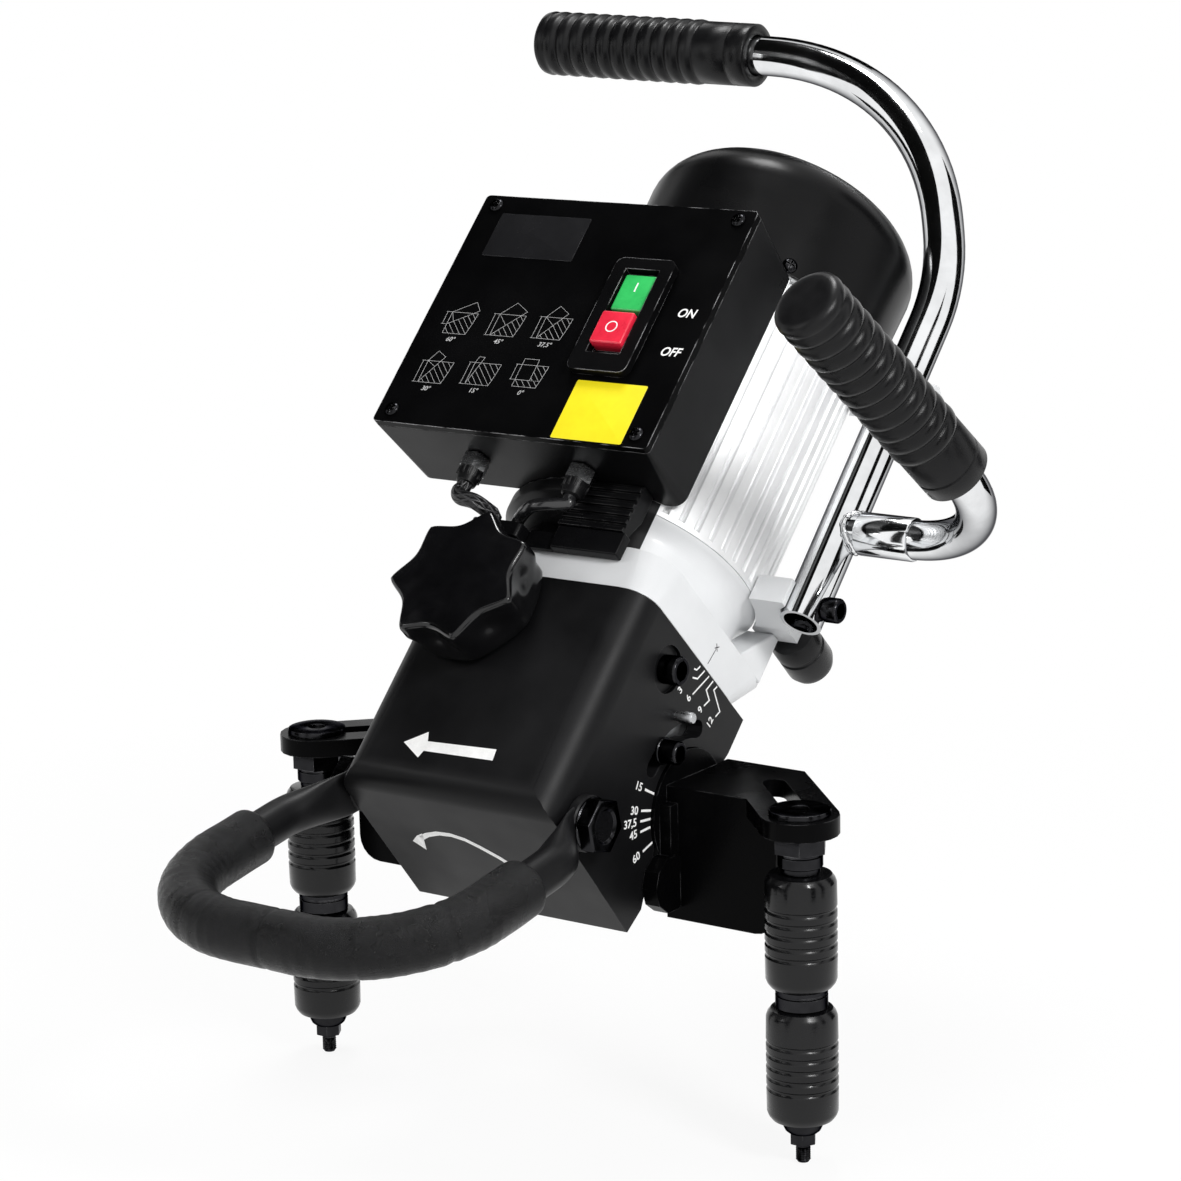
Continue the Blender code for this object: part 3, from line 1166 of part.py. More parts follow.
# Spindle: shaft, rotor, fan and cutter
FAN_LOW = REAR_TOP + FAN_LIFT
FAN_TOP = FAN_LOW + FAN_HEIGHT
shaft = turned([(0, CUTTER_TOP), (SHAFT_RADIUS, CUTTER_TOP), (SHAFT_RADIUS, FAN_TOP), (0, FAN_TOP)],
               INNER_SIDES)
bolt_hole = prism(circle(CUTTER_BOLT_SHANK + GAP, SMALL_SIDES), CUTTER_TOP - OVERRUN,
                  CUTTER_TOP + CUTTER_BOLT_LENGTH)
piece("motor_shaft", cut(shaft, bolt_hole), "steel", motor)
piece("rotor", ring_solid(ROTOR_RADIUS, SHAFT_RADIUS + GAP, STATOR_LOW, STATOR_TOP, INNER_SIDES), "steel",
      motor)
fan = turned([(SHAFT_RADIUS + GAP, FAN_LOW), (FAN_RADIUS - FAN_BLADE, FAN_LOW),
              (FAN_RADIUS - FAN_BLADE, FAN_LOW + FAN_PLATE), (FAN_HUB, FAN_LOW + FAN_PLATE),
              (FAN_HUB, FAN_TOP), (SHAFT_RADIUS + GAP, FAN_TOP)], INNER_SIDES)
blade = prism(rectangle(FAN_HUB - JOIN, FAN_RADIUS, -FAN_BLADE / 2, FAN_BLADE / 2),
              FAN_LOW + FAN_PLATE / 2, FAN_TOP - FAN_PLATE)
fan_blades = together(*[moved(blade, turn(math.tau * number / FAN_BLADES, "Z"))
                        for number in range(FAN_BLADES)])
piece("cooling_fan", join(fan, fan_blades), "black_plastic", motor)

CUTTER_LOW = CUTTER_TOP - GAP - CUTTER_HEIGHT
cutter = turned([(0, CUTTER_LOW), (CUTTER_RADIUS, CUTTER_LOW),
                 (CUTTER_RADIUS, CUTTER_TOP - GAP - CUTTER_NECK_HEIGHT),
                 (CUTTER_NECK, CUTTER_TOP - GAP), (0, CUTTER_TOP - GAP)])
insert_low = CUTTER_LOW + INSERT_THICKNESS
insert_face = CUTTER_RADIUS + INSERT_PROUD
pocket_size = INSERT_SIZE / 2 + GAP
pocket = prism(rectangle(insert_face - INSERT_SIZE - GAP, insert_face + OVERRUN,
                         -GAP, INSERT_SIZE), insert_low - GAP, insert_low + INSERT_HEIGHT + GAP)
insert = prism(rectangle(insert_face - INSERT_SIZE, insert_face, 0, INSERT_THICKNESS),
               insert_low, insert_low + INSERT_HEIGHT)
middle_x = insert_face - INSERT_SIZE / 2
middle_z = insert_low + INSERT_HEIGHT / 2
insert_screw = prism(circle(INSERT_SCREW, HEX_SIDES, (middle_x, middle_z)),
                     -INSERT_THICKNESS - JOIN / 2, JOIN - INSERT_THICKNESS, frontways)
insert = join(insert, insert_screw)


def round_cutter(solid):
    return together(*[moved(solid, turn(math.tau * number / INSERTS, "Z")) for number in range(INSERTS)])


head_recess = prism(circle(CUTTER_BOLT_SHANK + GAP, SMALL_SIDES), CUTTER_LOW - OVERRUN, CUTTER_TOP + OVERRUN)
piece("cutter_head", cut(cutter, round_cutter(pocket), head_recess), "steel", motor)
for number in range(INSERTS):
    piece("cutter_insert_" + str(number + 1), insert.copy(), "carbide", motor,
          rotation=(0, 0, math.tau * number / INSERTS))
cutter_bolt = socket_screw(CUTTER_BOLT_SHANK, CUTTER_HEIGHT + CUTTER_BOLT_LENGTH - OVERRUN, CUTTER_BOLT_HEAD,
                           CUTTER_BOLT_HEAD_HEIGHT, LOCK_SOCKET, CLAMP_SOCKET_DEPTH)
piece("cutter_bolt", moved(cutter_bolt, shift(z=CUTTER_LOW - GAP) @ turn(math.pi, "X")), "black_steel", motor)

# Switch box and lid
BOX_TOP = BOX_LOW + BOX_LENGTH
LID_BACK = LID_FACE - LID_THICKNESS
BOX_FRONT = LID_BACK - GAP


def box_outline(margin, left=BOX_LEFT, right=BOX_RIGHT):
    corner = BOX_CORNER + margin
    return rounded(rectangle(-left - margin, right + margin,
                             BOX_LOW - min(margin, 0), BOX_TOP + min(margin, 0)),
                   [corner] * 4)


def lid_screw_places():
    places = []
    for x in (-BOX_LEFT + LID_SCREW_INSET, BOX_RIGHT - LID_SCREW_INSET):
        for z in (BOX_LOW + LID_SCREW_INSET + LID_MARGIN / 2, BOX_TOP - LID_SCREW_INSET):
            places.append((x, z))
    return places


def at_lid_screws(solid):
    return together(*[moved(solid, shift(x, 0, z)) for x, z in lid_screw_places()])


box = loft([[frontways(p[0], p[1], BOX_BACK) for p in box_outline(0)],
            [frontways(p[0], p[1], BOX_FRONT) for p in box_outline(LID_MARGIN)]])
inner = prism(box_outline(-BOX_WALL), BOX_BACK + BOX_WALL, BOX_FRONT + OVERRUN, frontways)
post = prism(circle(LID_POST, SMALL_SIDES), BOX_BACK + BOX_WALL - JOIN, BOX_FRONT, frontways)
post_bore = prism(circle(LID_SCREW_SHANK + GAP, SMALL_SIDES), LID_FACE - LID_SCREW_LENGTH - OVERRUN,
                  LID_FACE + OVERRUN, frontways)
gland_holes = together(
    prism(circle(GLAND_SPIGOT + GAP, SMALL_SIDES, (GLAND_LEFT_X, -GLAND_LEFT_FORWARD)),
          BOX_LOW - OVERRUN, BOX_LOW + BOX_WALL + 2 * OVERRUN),
    prism(circle(GLAND_SPIGOT + GAP, SMALL_SIDES, (GLAND_RIGHT_X, -GLAND_RIGHT_FORWARD)),
          BOX_LOW - OVERRUN, BOX_LOW + BOX_WALL + 2 * OVERRUN))
motor_room = prism(circle(FIN_RADIUS / math.cos(math.pi / ROUND_SIDES) + GAP), BOX_LOW - OVERRUN,
                   BOX_TOP + OVERRUN)
box = cut(join(cut(box, inner), at_lid_screws(post)), at_lid_screws(post_bore))
saddle = prism(rounded(rectangle(-FIN_RADIUS + JOIN, BOX_RIGHT - BOX_WALL, BOX_LOW + JOIN, BOX_TOP - JOIN),
                       [BOX_CORNER / 2] * 4), BOX_BACK + JOIN, FIN_RADIUS + BOX_WALL + GAP, frontways)
box = cut(join(box, saddle), motor_room, gland_holes)
piece("switch_box", box, "black_plastic", motor)

SWITCH_LOW = SWITCH_UP - SWITCH_LENGTH / 2
SWITCH_TOP = SWITCH_UP + SWITCH_LENGTH / 2
switch_outline = rectangle(SWITCH_X - SWITCH_HALF, SWITCH_X + SWITCH_HALF, SWITCH_LOW, SWITCH_TOP)
switch_hole = prism(rectangle(SWITCH_X - SWITCH_HALF - GAP, SWITCH_X + SWITCH_HALF + GAP,
                              SWITCH_LOW - GAP, SWITCH_TOP + GAP), LID_BACK - OVERRUN, LID_FACE + OVERRUN,
                    frontways)
lid_plate = prism(box_outline(LID_MARGIN), LID_BACK, LID_FACE, frontways)
lid_screw = turned([(0, -LID_SCREW_LENGTH), (LID_SCREW_SHANK, -LID_SCREW_LENGTH), (LID_SCREW_SHANK, -JOIN),
                    (LID_SCREW_HEAD, -JOIN), (LID_SCREW_HEAD / 2, LID_SCREW_HEAD_HEIGHT),
                    (0, LID_SCREW_HEAD_HEIGHT)], SMALL_SIDES)
lid_screw = moved(lid_screw, shift(y=-LID_FACE) @ turn(math.pi / 2, "X"))
piece("box_lid", join(cut(lid_plate, switch_hole), at_lid_screws(lid_screw)), "lid_metal", motor)

# Switch: body in the lid's window, raised guard, and two sprung buttons
BUTTON_FLOOR = LID_FACE - BUTTON_TRAVEL - BUTTON_SEAT
body = prism(switch_outline, LID_FACE - SWITCH_DEPTH, LID_FACE, frontways)


def button_outline(low, length, margin):
    return rectangle(SWITCH_X - BUTTON_HALF - margin, SWITCH_X + BUTTON_HALF + margin,
                     low - margin, low + length + margin)


wells = together(prism(button_outline(ON_LOW, ON_LENGTH, GAP), BUTTON_FLOOR - GAP, LID_FACE + OVERRUN,
                       frontways),
                 prism(button_outline(OFF_LOW, OFF_LENGTH, GAP), BUTTON_FLOOR - GAP, LID_FACE + OVERRUN,
                       frontways))
guard_outer = rounded(rectangle(SWITCH_X - SWITCH_HALF - GUARD_BORDER, SWITCH_X + SWITCH_HALF + GUARD_BORDER,
                                SWITCH_LOW - GUARD_BORDER, SWITCH_TOP + GUARD_BORDER), [GUARD_BORDER] * 4)
guard = prism(guard_outer, LID_FACE + GAP, LID_FACE + GAP + GUARD_HEIGHT, frontways)
guard_window = prism(rectangle(SWITCH_X - BUTTON_HALF - 2 * GAP, SWITCH_X + BUTTON_HALF + 2 * GAP,
                               OFF_LOW - GUARD_BORDER, ON_LOW + ON_LENGTH + GUARD_BORDER / 2),
                     LID_FACE - OVERRUN, LID_FACE + GUARD_HEIGHT + OVERRUN, frontways)
bridge = prism(rectangle(SWITCH_X - SWITCH_HALF, SWITCH_X + SWITCH_HALF, SWITCH_LOW, SWITCH_TOP),
               LID_FACE - JOIN, LID_FACE + 2 * GAP, frontways)
piece("switch_body", cut(join(body, cut(join(guard, bridge), guard_window)), wells), "black_plastic", motor)


def button(low, length, proud):
    """Push button whose front edges are eased."""
    face = LID_FACE + proud
    edge = JOIN
    rings = [[frontways(p[0], p[1], LID_FACE - BUTTON_SEAT) for p in button_outline(low, length, 0)],
             [frontways(p[0], p[1], face - edge) for p in button_outline(low, length, 0)],
             [frontways(p[0], p[1], face) for p in button_outline(low, length, -edge)]]
    return loft(rings)


piece("on_button", button(ON_LOW, ON_LENGTH, ON_PROUD), "green_plastic", motor)
piece("off_button", button(OFF_LOW, OFF_LENGTH, OFF_PROUD), "red_plastic", motor)

# Run capacitor inside the box
CAPACITOR_FORWARD = BOX_BACK + BOX_WALL + CAPACITOR_RADIUS + GAP
capacitor = turned([(0, -CAPACITOR_LENGTH / 2), (CAPACITOR_RADIUS, -CAPACITOR_LENGTH / 2),
                    (CAPACITOR_RADIUS, CAPACITOR_LENGTH / 2), (0, CAPACITOR_LENGTH / 2)], SMALL_SIDES)
piece("run_capacitor", capacitor, "bright_aluminium", motor,
      (-BOX_LEFT + BOX_WALL + CAPACITOR_RADIUS + LID_POST, -CAPACITOR_FORWARD, BOX_LOW + BOX_LENGTH / 2))

# Cable glands, short leads and their clamp block


def gland(cable):
    """Gland under the box: spigot, hexagon, cap nut and cable bore."""
    outside = [(0, 0), (GLAND_SPIGOT, 0), (GLAND_SPIGOT, -BOX_WALL), (0, -BOX_WALL)]
    spigot = turned([(r, -h + GAP) for r, h in outside], SMALL_SIDES)
    low = -GLAND_NUT_HEIGHT - GAP
    nut = hexagon(GLAND_FLATS, low, -GAP)
    dome = turned([(0, low - GLAND_DOME_HEIGHT), (GLAND_DOME_RADIUS, low - GLAND_DOME_HEIGHT),
                   (GLAND_FLATS / 2 - JOIN, low + JOIN), (0, low + JOIN)], SMALL_SIDES)
    spigot = moved(spigot, shift(z=-JOIN))
    return cut(join(nut, dome, spigot), prism(circle(cable + GAP, SMALL_SIDES),
                                              low - GLAND_DOME_HEIGHT - OVERRUN, BOX_WALL + OVERRUN))


GLAND_END = BOX_LOW - 2 * GAP - GLAND_NUT_HEIGHT - GLAND_DOME_HEIGHT
piece("cable_gland_left", gland(BRAID_RADIUS), "black_plastic", motor,
      (GLAND_LEFT_X, -GLAND_LEFT_FORWARD, BOX_LOW))
piece("cable_gland_right", gland(LEAD_RADIUS), "black_plastic", motor,
      (GLAND_RIGHT_X, -GLAND_RIGHT_FORWARD, BOX_LOW))
clamp_block = prism(rounded(rectangle(CLAMP_BLOCK_X - CLAMP_BLOCK_HALF, CLAMP_BLOCK_X + CLAMP_BLOCK_HALF,
                                      -CLAMP_BLOCK_DEPTH, 0), [BOX_CORNER / 3, BOX_CORNER / 3, 0, 0]),
                    SLAB_TOP - CLAMP_BLOCK_HEIGHT, SLAB_TOP)
piece("lead_clamp", clamp_block, "black_plastic", motor, (0, -SLIDE_FRONT - GAP, 0))


def smooth_route(points, steps=3):
    """Catmull-Rom curve through the route's own points."""
    route = []
    for index in range(len(points) - 1):
        p0 = points[max(index - 1, 0)]
        p1 = points[index]
        p2 = points[index + 1]
        p3 = points[min(index + 2, len(points) - 1)]
        for step in range(steps):
            t = step / steps
            route.append(((2 * p1) + (p2 - p0) * t + (2 * p0 - 5 * p1 + 4 * p2 - p3) * t * t
                          + (3 * p1 - p0 - 3 * p2 + p3) * t * t * t) / 2)
    route.append(points[-1])
    return route


def lead(points, radius, sides=LEAD_SIDES):
    """Short lead between a gland and the clamp block."""
    places = [Vector((x, -forward, z)) for x, forward, z in points]
    route = smooth_route(places[:-1]) + places[-1:]
    return loft(sections(route, [(radius, radius)] * len(route), sides, Vector((0, -1, 0))))


LEAD_TOP = BOX_LOW + BOX_WALL
LEAD_LOW = SLAB_TOP + GAP
LEAD_SAG = LEAD_RADIUS
LEAD_FORWARD = SLIDE_FRONT + CLAMP_BLOCK_DEPTH / 2
LEFT_END = CLAMP_BLOCK_X - CLAMP_BLOCK_HALF / 2
RIGHT_END = CLAMP_BLOCK_X + CLAMP_BLOCK_HALF / 2
LEAD_BEND = GLAND_END - BRAID_RADIUS
LEAD_DROP = (LEAD_BEND + LEAD_LOW) / 2
left_route = [(GLAND_LEFT_X, GLAND_LEFT_FORWARD, LEAD_TOP), (GLAND_LEFT_X, GLAND_LEFT_FORWARD, GLAND_END),
              (GLAND_LEFT_X, GLAND_LEFT_FORWARD, LEAD_BEND),
              ((GLAND_LEFT_X + LEFT_END) / 2, GLAND_LEFT_FORWARD, LEAD_DROP),
              (LEFT_END, LEAD_FORWARD, LEAD_LOW + BRAID_RADIUS + JOIN),
              (LEFT_END, LEAD_FORWARD, LEAD_LOW)]
right_route = [(GLAND_RIGHT_X, GLAND_RIGHT_FORWARD, LEAD_TOP),
               (GLAND_RIGHT_X, GLAND_RIGHT_FORWARD, GLAND_END),
               (GLAND_RIGHT_X, GLAND_RIGHT_FORWARD, LEAD_BEND),
               ((GLAND_RIGHT_X + RIGHT_END) / 2, GLAND_RIGHT_FORWARD + LEAD_SAG, LEAD_DROP),
               (RIGHT_END, LEAD_FORWARD, LEAD_LOW + BRAID_RADIUS + JOIN),
               (RIGHT_END, LEAD_FORWARD, LEAD_LOW)]
piece("braided_lead", lead(left_route, BRAID_RADIUS), "black_plastic", motor)
piece("smooth_lead", lead(right_route, LEAD_RADIUS), "black_plastic", motor)

# Ribbed terminal cover and earth screw on the end shield


def shield_room():
    """Space of the end shield and frame with a running gap."""
    rings = [ring_at(SLAB_TOP, HOUSING_HALF + GAP, SLIDE_FRONT + GAP, SHIELD_REAR + GAP, RIDGE_CORNER)]
    for number in range(1, 5):
        ease = math.sin(number / 4 * math.pi / 2)
        rings.append(ring_at(SLAB_TOP + SHIELD_HEIGHT * number / 4,
                             HOUSING_HALF + GAP + (SHIELD_RADIUS - HOUSING_HALF) * ease,
                             SLIDE_FRONT + GAP + (SHIELD_RADIUS - SLIDE_FRONT) * ease,
                             SHIELD_REAR + GAP + (SHIELD_RADIUS - SHIELD_REAR) * ease,
                             RIDGE_CORNER + GAP + (SHIELD_RADIUS - RIDGE_CORNER) * ease))
    rings.append(ring_at(FRAME_TOP, *[SHIELD_RADIUS + GAP] * 4))
    return loft(rings)


COVER_TOP = BOX_LOW - GAP
COVER_FRONT = FIN_RADIUS + COVER_RIB_DEPTH + GAP
cover_steps = []
rib_pitch = COVER_HEIGHT / COVER_RIBS
for number in range(COVER_RIBS):
    low = COVER_TOP - COVER_HEIGHT + rib_pitch * number
    cover_steps += [(COVER_FRONT, low), (COVER_FRONT, low + rib_pitch / 2),
                    (COVER_FRONT - COVER_RIB_DEPTH, low + rib_pitch / 2),
                    (COVER_FRONT - COVER_RIB_DEPTH, low + rib_pitch)]
cover_back = COVER_FRONT - COVER_DEPTH
cover_outline = [Vector((-cover_back, COVER_TOP)), Vector((-cover_back, COVER_TOP - COVER_HEIGHT))]
cover_outline += [Vector((-forward, up)) for forward, up in cover_steps]
cover = prism(cover_outline, COVER_LEFT, COVER_RIGHT, sideways)
piece("terminal_cover", cut(cover, shield_room()), "black_plastic", motor)

# Main handle tube, side handle and their grips
main_path = filleted_path(
    [(TUBE_X, TUBE_BACK, TUBE_LOW), (TUBE_KNEE_X, TUBE_BACK, TUBE_KNEE_UP),
     (TUBE_SHOULDER_X, 0, TUBE_SHOULDER_UP), (TUBE_END_X, -TUBE_END_FORWARD, TUBE_SHOULDER_UP)],
    [TUBE_KNEE_RADIUS, TUBE_SHOULDER_RADIUS])
BACK = Vector((0, 1, 0))
main_tube = tube(main_path, TUBE_RADIUS, TUBE_WALL, BACK)
tube_bore = prism(circle(TUBE_SCREW_SHANK + GAP, SMALL_SIDES, (TUBE_BACK, BRACKET_UP)),
                  TUBE_X - 2 * TUBE_RADIUS, TUBE_X + TUBE_RADIUS + OVERRUN, sideways)
high_bore = prism(circle(TUBE_SCREW_SHANK + GAP, SMALL_SIDES, (TUBE_BACK, UPPER_BRACKET_UP)),
                  TUBE_X - 2 * TUBE_RADIUS, TUBE_X + TUBE_RADIUS + OVERRUN, sideways)
piece("main_handle_tube", cut(main_tube, tube_bore, high_bore), "chrome", motor)


def bracket(height, bored=True):
    """Block that carries the tube on the motor, hollowed to both."""
    solid = prism(rectangle(TUBE_BACK - BRACKET_HALF, TUBE_BACK + BRACKET_HALF,
                            height - BRACKET_HEIGHT / 2, height + BRACKET_HEIGHT / 2),
                  BRACKET_INNER, TUBE_X - TUBE_RADIUS / 2, sideways)
    lean = (TUBE_X - TUBE_KNEE_X) / (TUBE_KNEE_UP - TUBE_LOW)
    centre_x = TUBE_X - lean * (height - TUBE_LOW)
    channel = prism(circle((TUBE_RADIUS + GAP) / math.cos(math.pi / SMALL_SIDES), SMALL_SIDES,
                           (centre_x, TUBE_BACK)), height - BRACKET_HEIGHT, height + BRACKET_HEIGHT)
    bore = prism(circle(TUBE_SCREW_SHANK + GAP, SMALL_SIDES, (TUBE_BACK, height)),
                 TUBE_X - 2 * TUBE_RADIUS, TUBE_X + TUBE_RADIUS, sideways)
    solid = cut(solid, shield_room(), channel)
    return cut(solid, bore) if bored else solid


tube_screw = socket_screw(TUBE_SCREW_SHANK, 2 * TUBE_RADIUS + BRACKET_HEIGHT / 2, TUBE_SCREW_HEAD,
                          TUBE_SCREW_HEAD_HEIGHT, CLAMP_SOCKET, CLAMP_SOCKET_DEPTH)
tube_screw = moved(tube_screw, turn(math.pi / 2, "Y"))
screw_seat = TUBE_X + TUBE_RADIUS + GAP
low_screw = moved(tube_screw, shift(screw_seat, TUBE_BACK, BRACKET_UP))
piece("tube_screw", low_screw, "black_steel", motor)
high_screw = moved(tube_screw, shift(screw_seat, TUBE_BACK, UPPER_BRACKET_UP))
piece("upper_tube_bracket", join(bracket(UPPER_BRACKET_UP, False), high_screw), "grey_paint", motor)


def grip(path, bore, length, sleeve, hint):
    """Ribbed rubber grip with a closed, rounded end on a tube's last stretch."""
    whole_length = length_of(path)
    start = whole_length - length
    rib_length = (length - sleeve) / GRIP_RIBS
    stations = [(start, GRIP_RADIUS - GRIP_RIB_DEPTH / 2), (start + sleeve, GRIP_RADIUS - GRIP_RIB_DEPTH / 2)]
    for number in range(GRIP_RIBS):
        low = start + sleeve + rib_length * number
        stations += [(low + rib_length * crest, GRIP_RADIUS - GRIP_RIB_DEPTH * depth)
                     for crest, depth in GRIP_RIB_SHARES]
    axis = (path[-1] - path[-2]).normalized()
    line = [path[-1] - axis * (whole_length - distance) for distance, radius in stations]
    radii = [radius for distance, radius in stations]
    line += [path[-1] + axis * (GRIP_CAP * reach) for reach, narrowing in GRIP_CAP_SHARES]
    radii += [GRIP_RADIUS * narrowing for reach, narrowing in GRIP_CAP_SHARES]
    outer = sections(line, [(radius, radius) for radius in radii], TUBE_SIDES, hint)
    bore_line = [path[-1] + axis * GAP, path[-1] - axis * (length + OVERRUN)]
    room = loft(sections(bore_line, [(bore, bore)] * 2, TUBE_SIDES, hint))
    return cut(loft(outer), room)


piece("top_grip", grip(main_path, TUBE_RADIUS + GAP, TOP_GRIP_LENGTH, TOP_GRIP_SLEEVE, BACK), "rubber", motor)

SIDE_START = TUBE_X + TUBE_RADIUS + GAP
side_path = filleted_path([(SIDE_START, TUBE_BACK, SIDE_UP), (SIDE_ELBOW_X, TUBE_BACK, SIDE_UP),
                           (SIDE_END_X, -SIDE_END_FORWARD, SIDE_UP)], [SIDE_ELBOW_RADIUS])
piece("side_handle_tube", tube(side_path, SIDE_TUBE, TUBE_WALL, UP), "chrome", motor)
piece("side_grip", grip(side_path, SIDE_TUBE + GAP, SIDE_GRIP_LENGTH, SIDE_GRIP_SLEEVE, UP), "rubber", motor)

# Rest buffer behind the motor, with its bracket
rest_low = SHIELD_TOP + GAP
rest_arm = prism(rectangle(BRACKET_INNER, REST_X + REST_RADIUS / 2, TUBE_BACK, REST_BACK),
                 rest_low, BRACKET_UP + BRACKET_HEIGHT / 2)
piece("lower_tube_bracket", join(bracket(BRACKET_UP), cut(rest_arm, shield_room())), "grey_paint", motor)
buffer = turned([(0, 0), (REST_RADIUS * 0.7, 0), (REST_RADIUS, REST_RADIUS / 2),
                 (REST_RADIUS, REST_HEIGHT - REST_RADIUS / 2), (REST_RADIUS * 0.7, REST_HEIGHT),
                 (0, REST_HEIGHT)],
                SMALL_SIDES)
rest_middle = (rest_low + BRACKET_UP + BRACKET_HEIGHT / 2) / 2
piece("rest_buffer", buffer, "rubber", motor, (REST_X, REST_BACK + GAP, rest_middle),
      (-math.pi / 2, 0, 0))
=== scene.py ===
"""Hand-guided beveling machine, dressed for its picture.

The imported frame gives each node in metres: +X along the guide, +Y away from
the operator, +Z up. A piece is modelled about the axis that it belongs to
(pivot, head, motor, knob or front handle), in millimetres, and then placed.
"""

import json
import math

import bmesh
import bpy
from mathutils import Matrix, Vector, noise


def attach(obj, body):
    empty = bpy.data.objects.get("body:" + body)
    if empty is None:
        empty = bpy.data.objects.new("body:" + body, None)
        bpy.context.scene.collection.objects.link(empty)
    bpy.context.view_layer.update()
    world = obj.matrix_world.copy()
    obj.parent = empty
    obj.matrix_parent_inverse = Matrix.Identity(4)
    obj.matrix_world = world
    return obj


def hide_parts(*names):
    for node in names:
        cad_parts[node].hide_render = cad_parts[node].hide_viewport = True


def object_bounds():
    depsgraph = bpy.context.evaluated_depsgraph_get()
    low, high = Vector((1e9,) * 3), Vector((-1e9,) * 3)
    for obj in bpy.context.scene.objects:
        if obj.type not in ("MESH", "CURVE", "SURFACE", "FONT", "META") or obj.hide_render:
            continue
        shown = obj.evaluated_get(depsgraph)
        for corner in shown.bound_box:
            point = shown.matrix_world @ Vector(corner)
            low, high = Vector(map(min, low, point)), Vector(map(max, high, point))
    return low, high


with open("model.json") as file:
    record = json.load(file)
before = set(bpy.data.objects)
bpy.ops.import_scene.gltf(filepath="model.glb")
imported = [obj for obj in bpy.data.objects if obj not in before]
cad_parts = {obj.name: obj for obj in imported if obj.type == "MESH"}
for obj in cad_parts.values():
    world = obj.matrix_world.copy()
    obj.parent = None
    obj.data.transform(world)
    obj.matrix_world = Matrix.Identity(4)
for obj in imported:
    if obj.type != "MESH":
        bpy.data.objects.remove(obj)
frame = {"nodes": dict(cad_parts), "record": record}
cad_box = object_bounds()

MM = 0.001
DEG = math.pi / 180
MERGE = 2e-6
PRINT_THICKNESS = 0.12

# Axes of the machine
PIVOT = Matrix.Translation((0, -26.5 * MM, -9.0 * MM))
HEAD = PIVOT @ Matrix.Rotation(-45 * DEG, 4, "X")
MOTOR = HEAD @ Matrix.Translation((0, -45.0 * MM, 0))
KNOB = HEAD @ Matrix.Translation((-26.0 * MM, -114.8 * MM, 43.5 * MM)) @ Matrix.Rotation(90 * DEG, 4, "X")
HANDLE = HEAD @ Matrix.Translation((0, -82.0 * MM, -57.0 * MM)) @ Matrix.Rotation(54 * DEG, 4, "X")
MIRROR = Matrix.Diagonal((-1, 1, 1, 1))
FACING = Matrix(((1, 0, 0, 0), (0, 0, -1, 0), (0, 1, 0, 0), (0, 0, 0, 1)))

# Roller stack heights below the pivot, and radii
ARM_TOP = 19.3
STUD_X, STUD_Y = 162.0, -30.8
STUD_NUT = (-0.8, 8.7)
STUD_COLLAR = (-9.0, -0.8)
STUD_WASHER = (-12.4, -9.0)
ROLLER_TOPS = {"upper": -12.7, "lower": -86.2}
ROLLER_HEIGHT = 62.0
ROLLER_RADIUS = 19.2
ROLLER_END = 14.0
SPACER = (-85.9, -75.0)
END_NUT = (-162.2, -155.5)
END_WASHER = (-155.8, -148.5)
STUD_END = -172.6
AXLE = 5.0
THREAD = 4.0
THREAD_PITCH = 1.25

# Housing sides
SIDE = 70.0
CLAMP = (44.0, 120 * DEG)
LOCK = (68.0, 47.0)
BOLT = (82.0, -57.0)
STOP_PIN = (43.5, 32.8)

# Knob
KNOB_BASE_RADIUS, KNOB_RADIUS = 39.0, 42.0
KNOB_LOBE = 8.2
KNOB_LOBES = 7
KNOB_LOBE_TURN = 36.2 * DEG
KNOB_LOW, KNOB_TOP = 3.2, 32.2
KNOB_DOME = 2.5

# Front handle
LOOP_HALF, LOOP_REACH, LOOP_CORNER = 88.0, 172.0, 66.0
LOOP_TUBE, LOOP_GRIP = 11.0, 15.6
LOOP_GRIP_START = 78.0
GRIP_CREASES = (-96.0, -52.0, -4.0, 46.0)
EYE_INNER, EYE_THICKNESS, EYE_RADIUS = 70.3, 6.0, 15.0

# Motor, cowl, box and lid
SLIDE_TOP = 92.0
FRAME_LOW, FRAME_RADIUS, FINS = 120.2, 75.0, 48
# Angles of the dark band that paints the box's shadow on the shield
SHADOW_BAND_START, SHADOW_BAND_END = -184.0, -52.0
COWL_FOOT = 286.7
COWL_RADIUS, COWL_FOOT_RADIUS, COWL_TOP_RADIUS = 81.4, 80.0, 46.0
COWL_MID, COWL_DOME = 341.0, 30.0
COWL_SCREW_UP, COWL_SCREW_ANGLE = 291.4, 44 * DEG
LID_FORWARD = 112.6
LID = (-121.0, 63.0, 127.0, 286.5)
BOX_SIDES, BOX_FLARE, BOX_CORNER, BOX_REAR_CORNER, LID_CORNER = (-118.0, 60.0), 3.0, 9.0, 7.0, 2.5
BOX_BACK, BOX_FRONT = 58.0, 107.9
LID_SCREWS = ((-111.0, 135.5), (-111.0, 279.5), (53.0, 135.5), (53.0, 279.5))
ON_BUTTON = (11.5, 224.0, 10.5, 12.0, 3.6)
OFF_BUTTON = (11.5, 197.5, 10.5, 10.5, 8.0)
BUTTON_SEAT = 6.0
BOX_LOW = 127.0
GLANDS = {"left": (-62.0, 86.0, 4.4), "right": (9.0, 86.0, 3.6)}

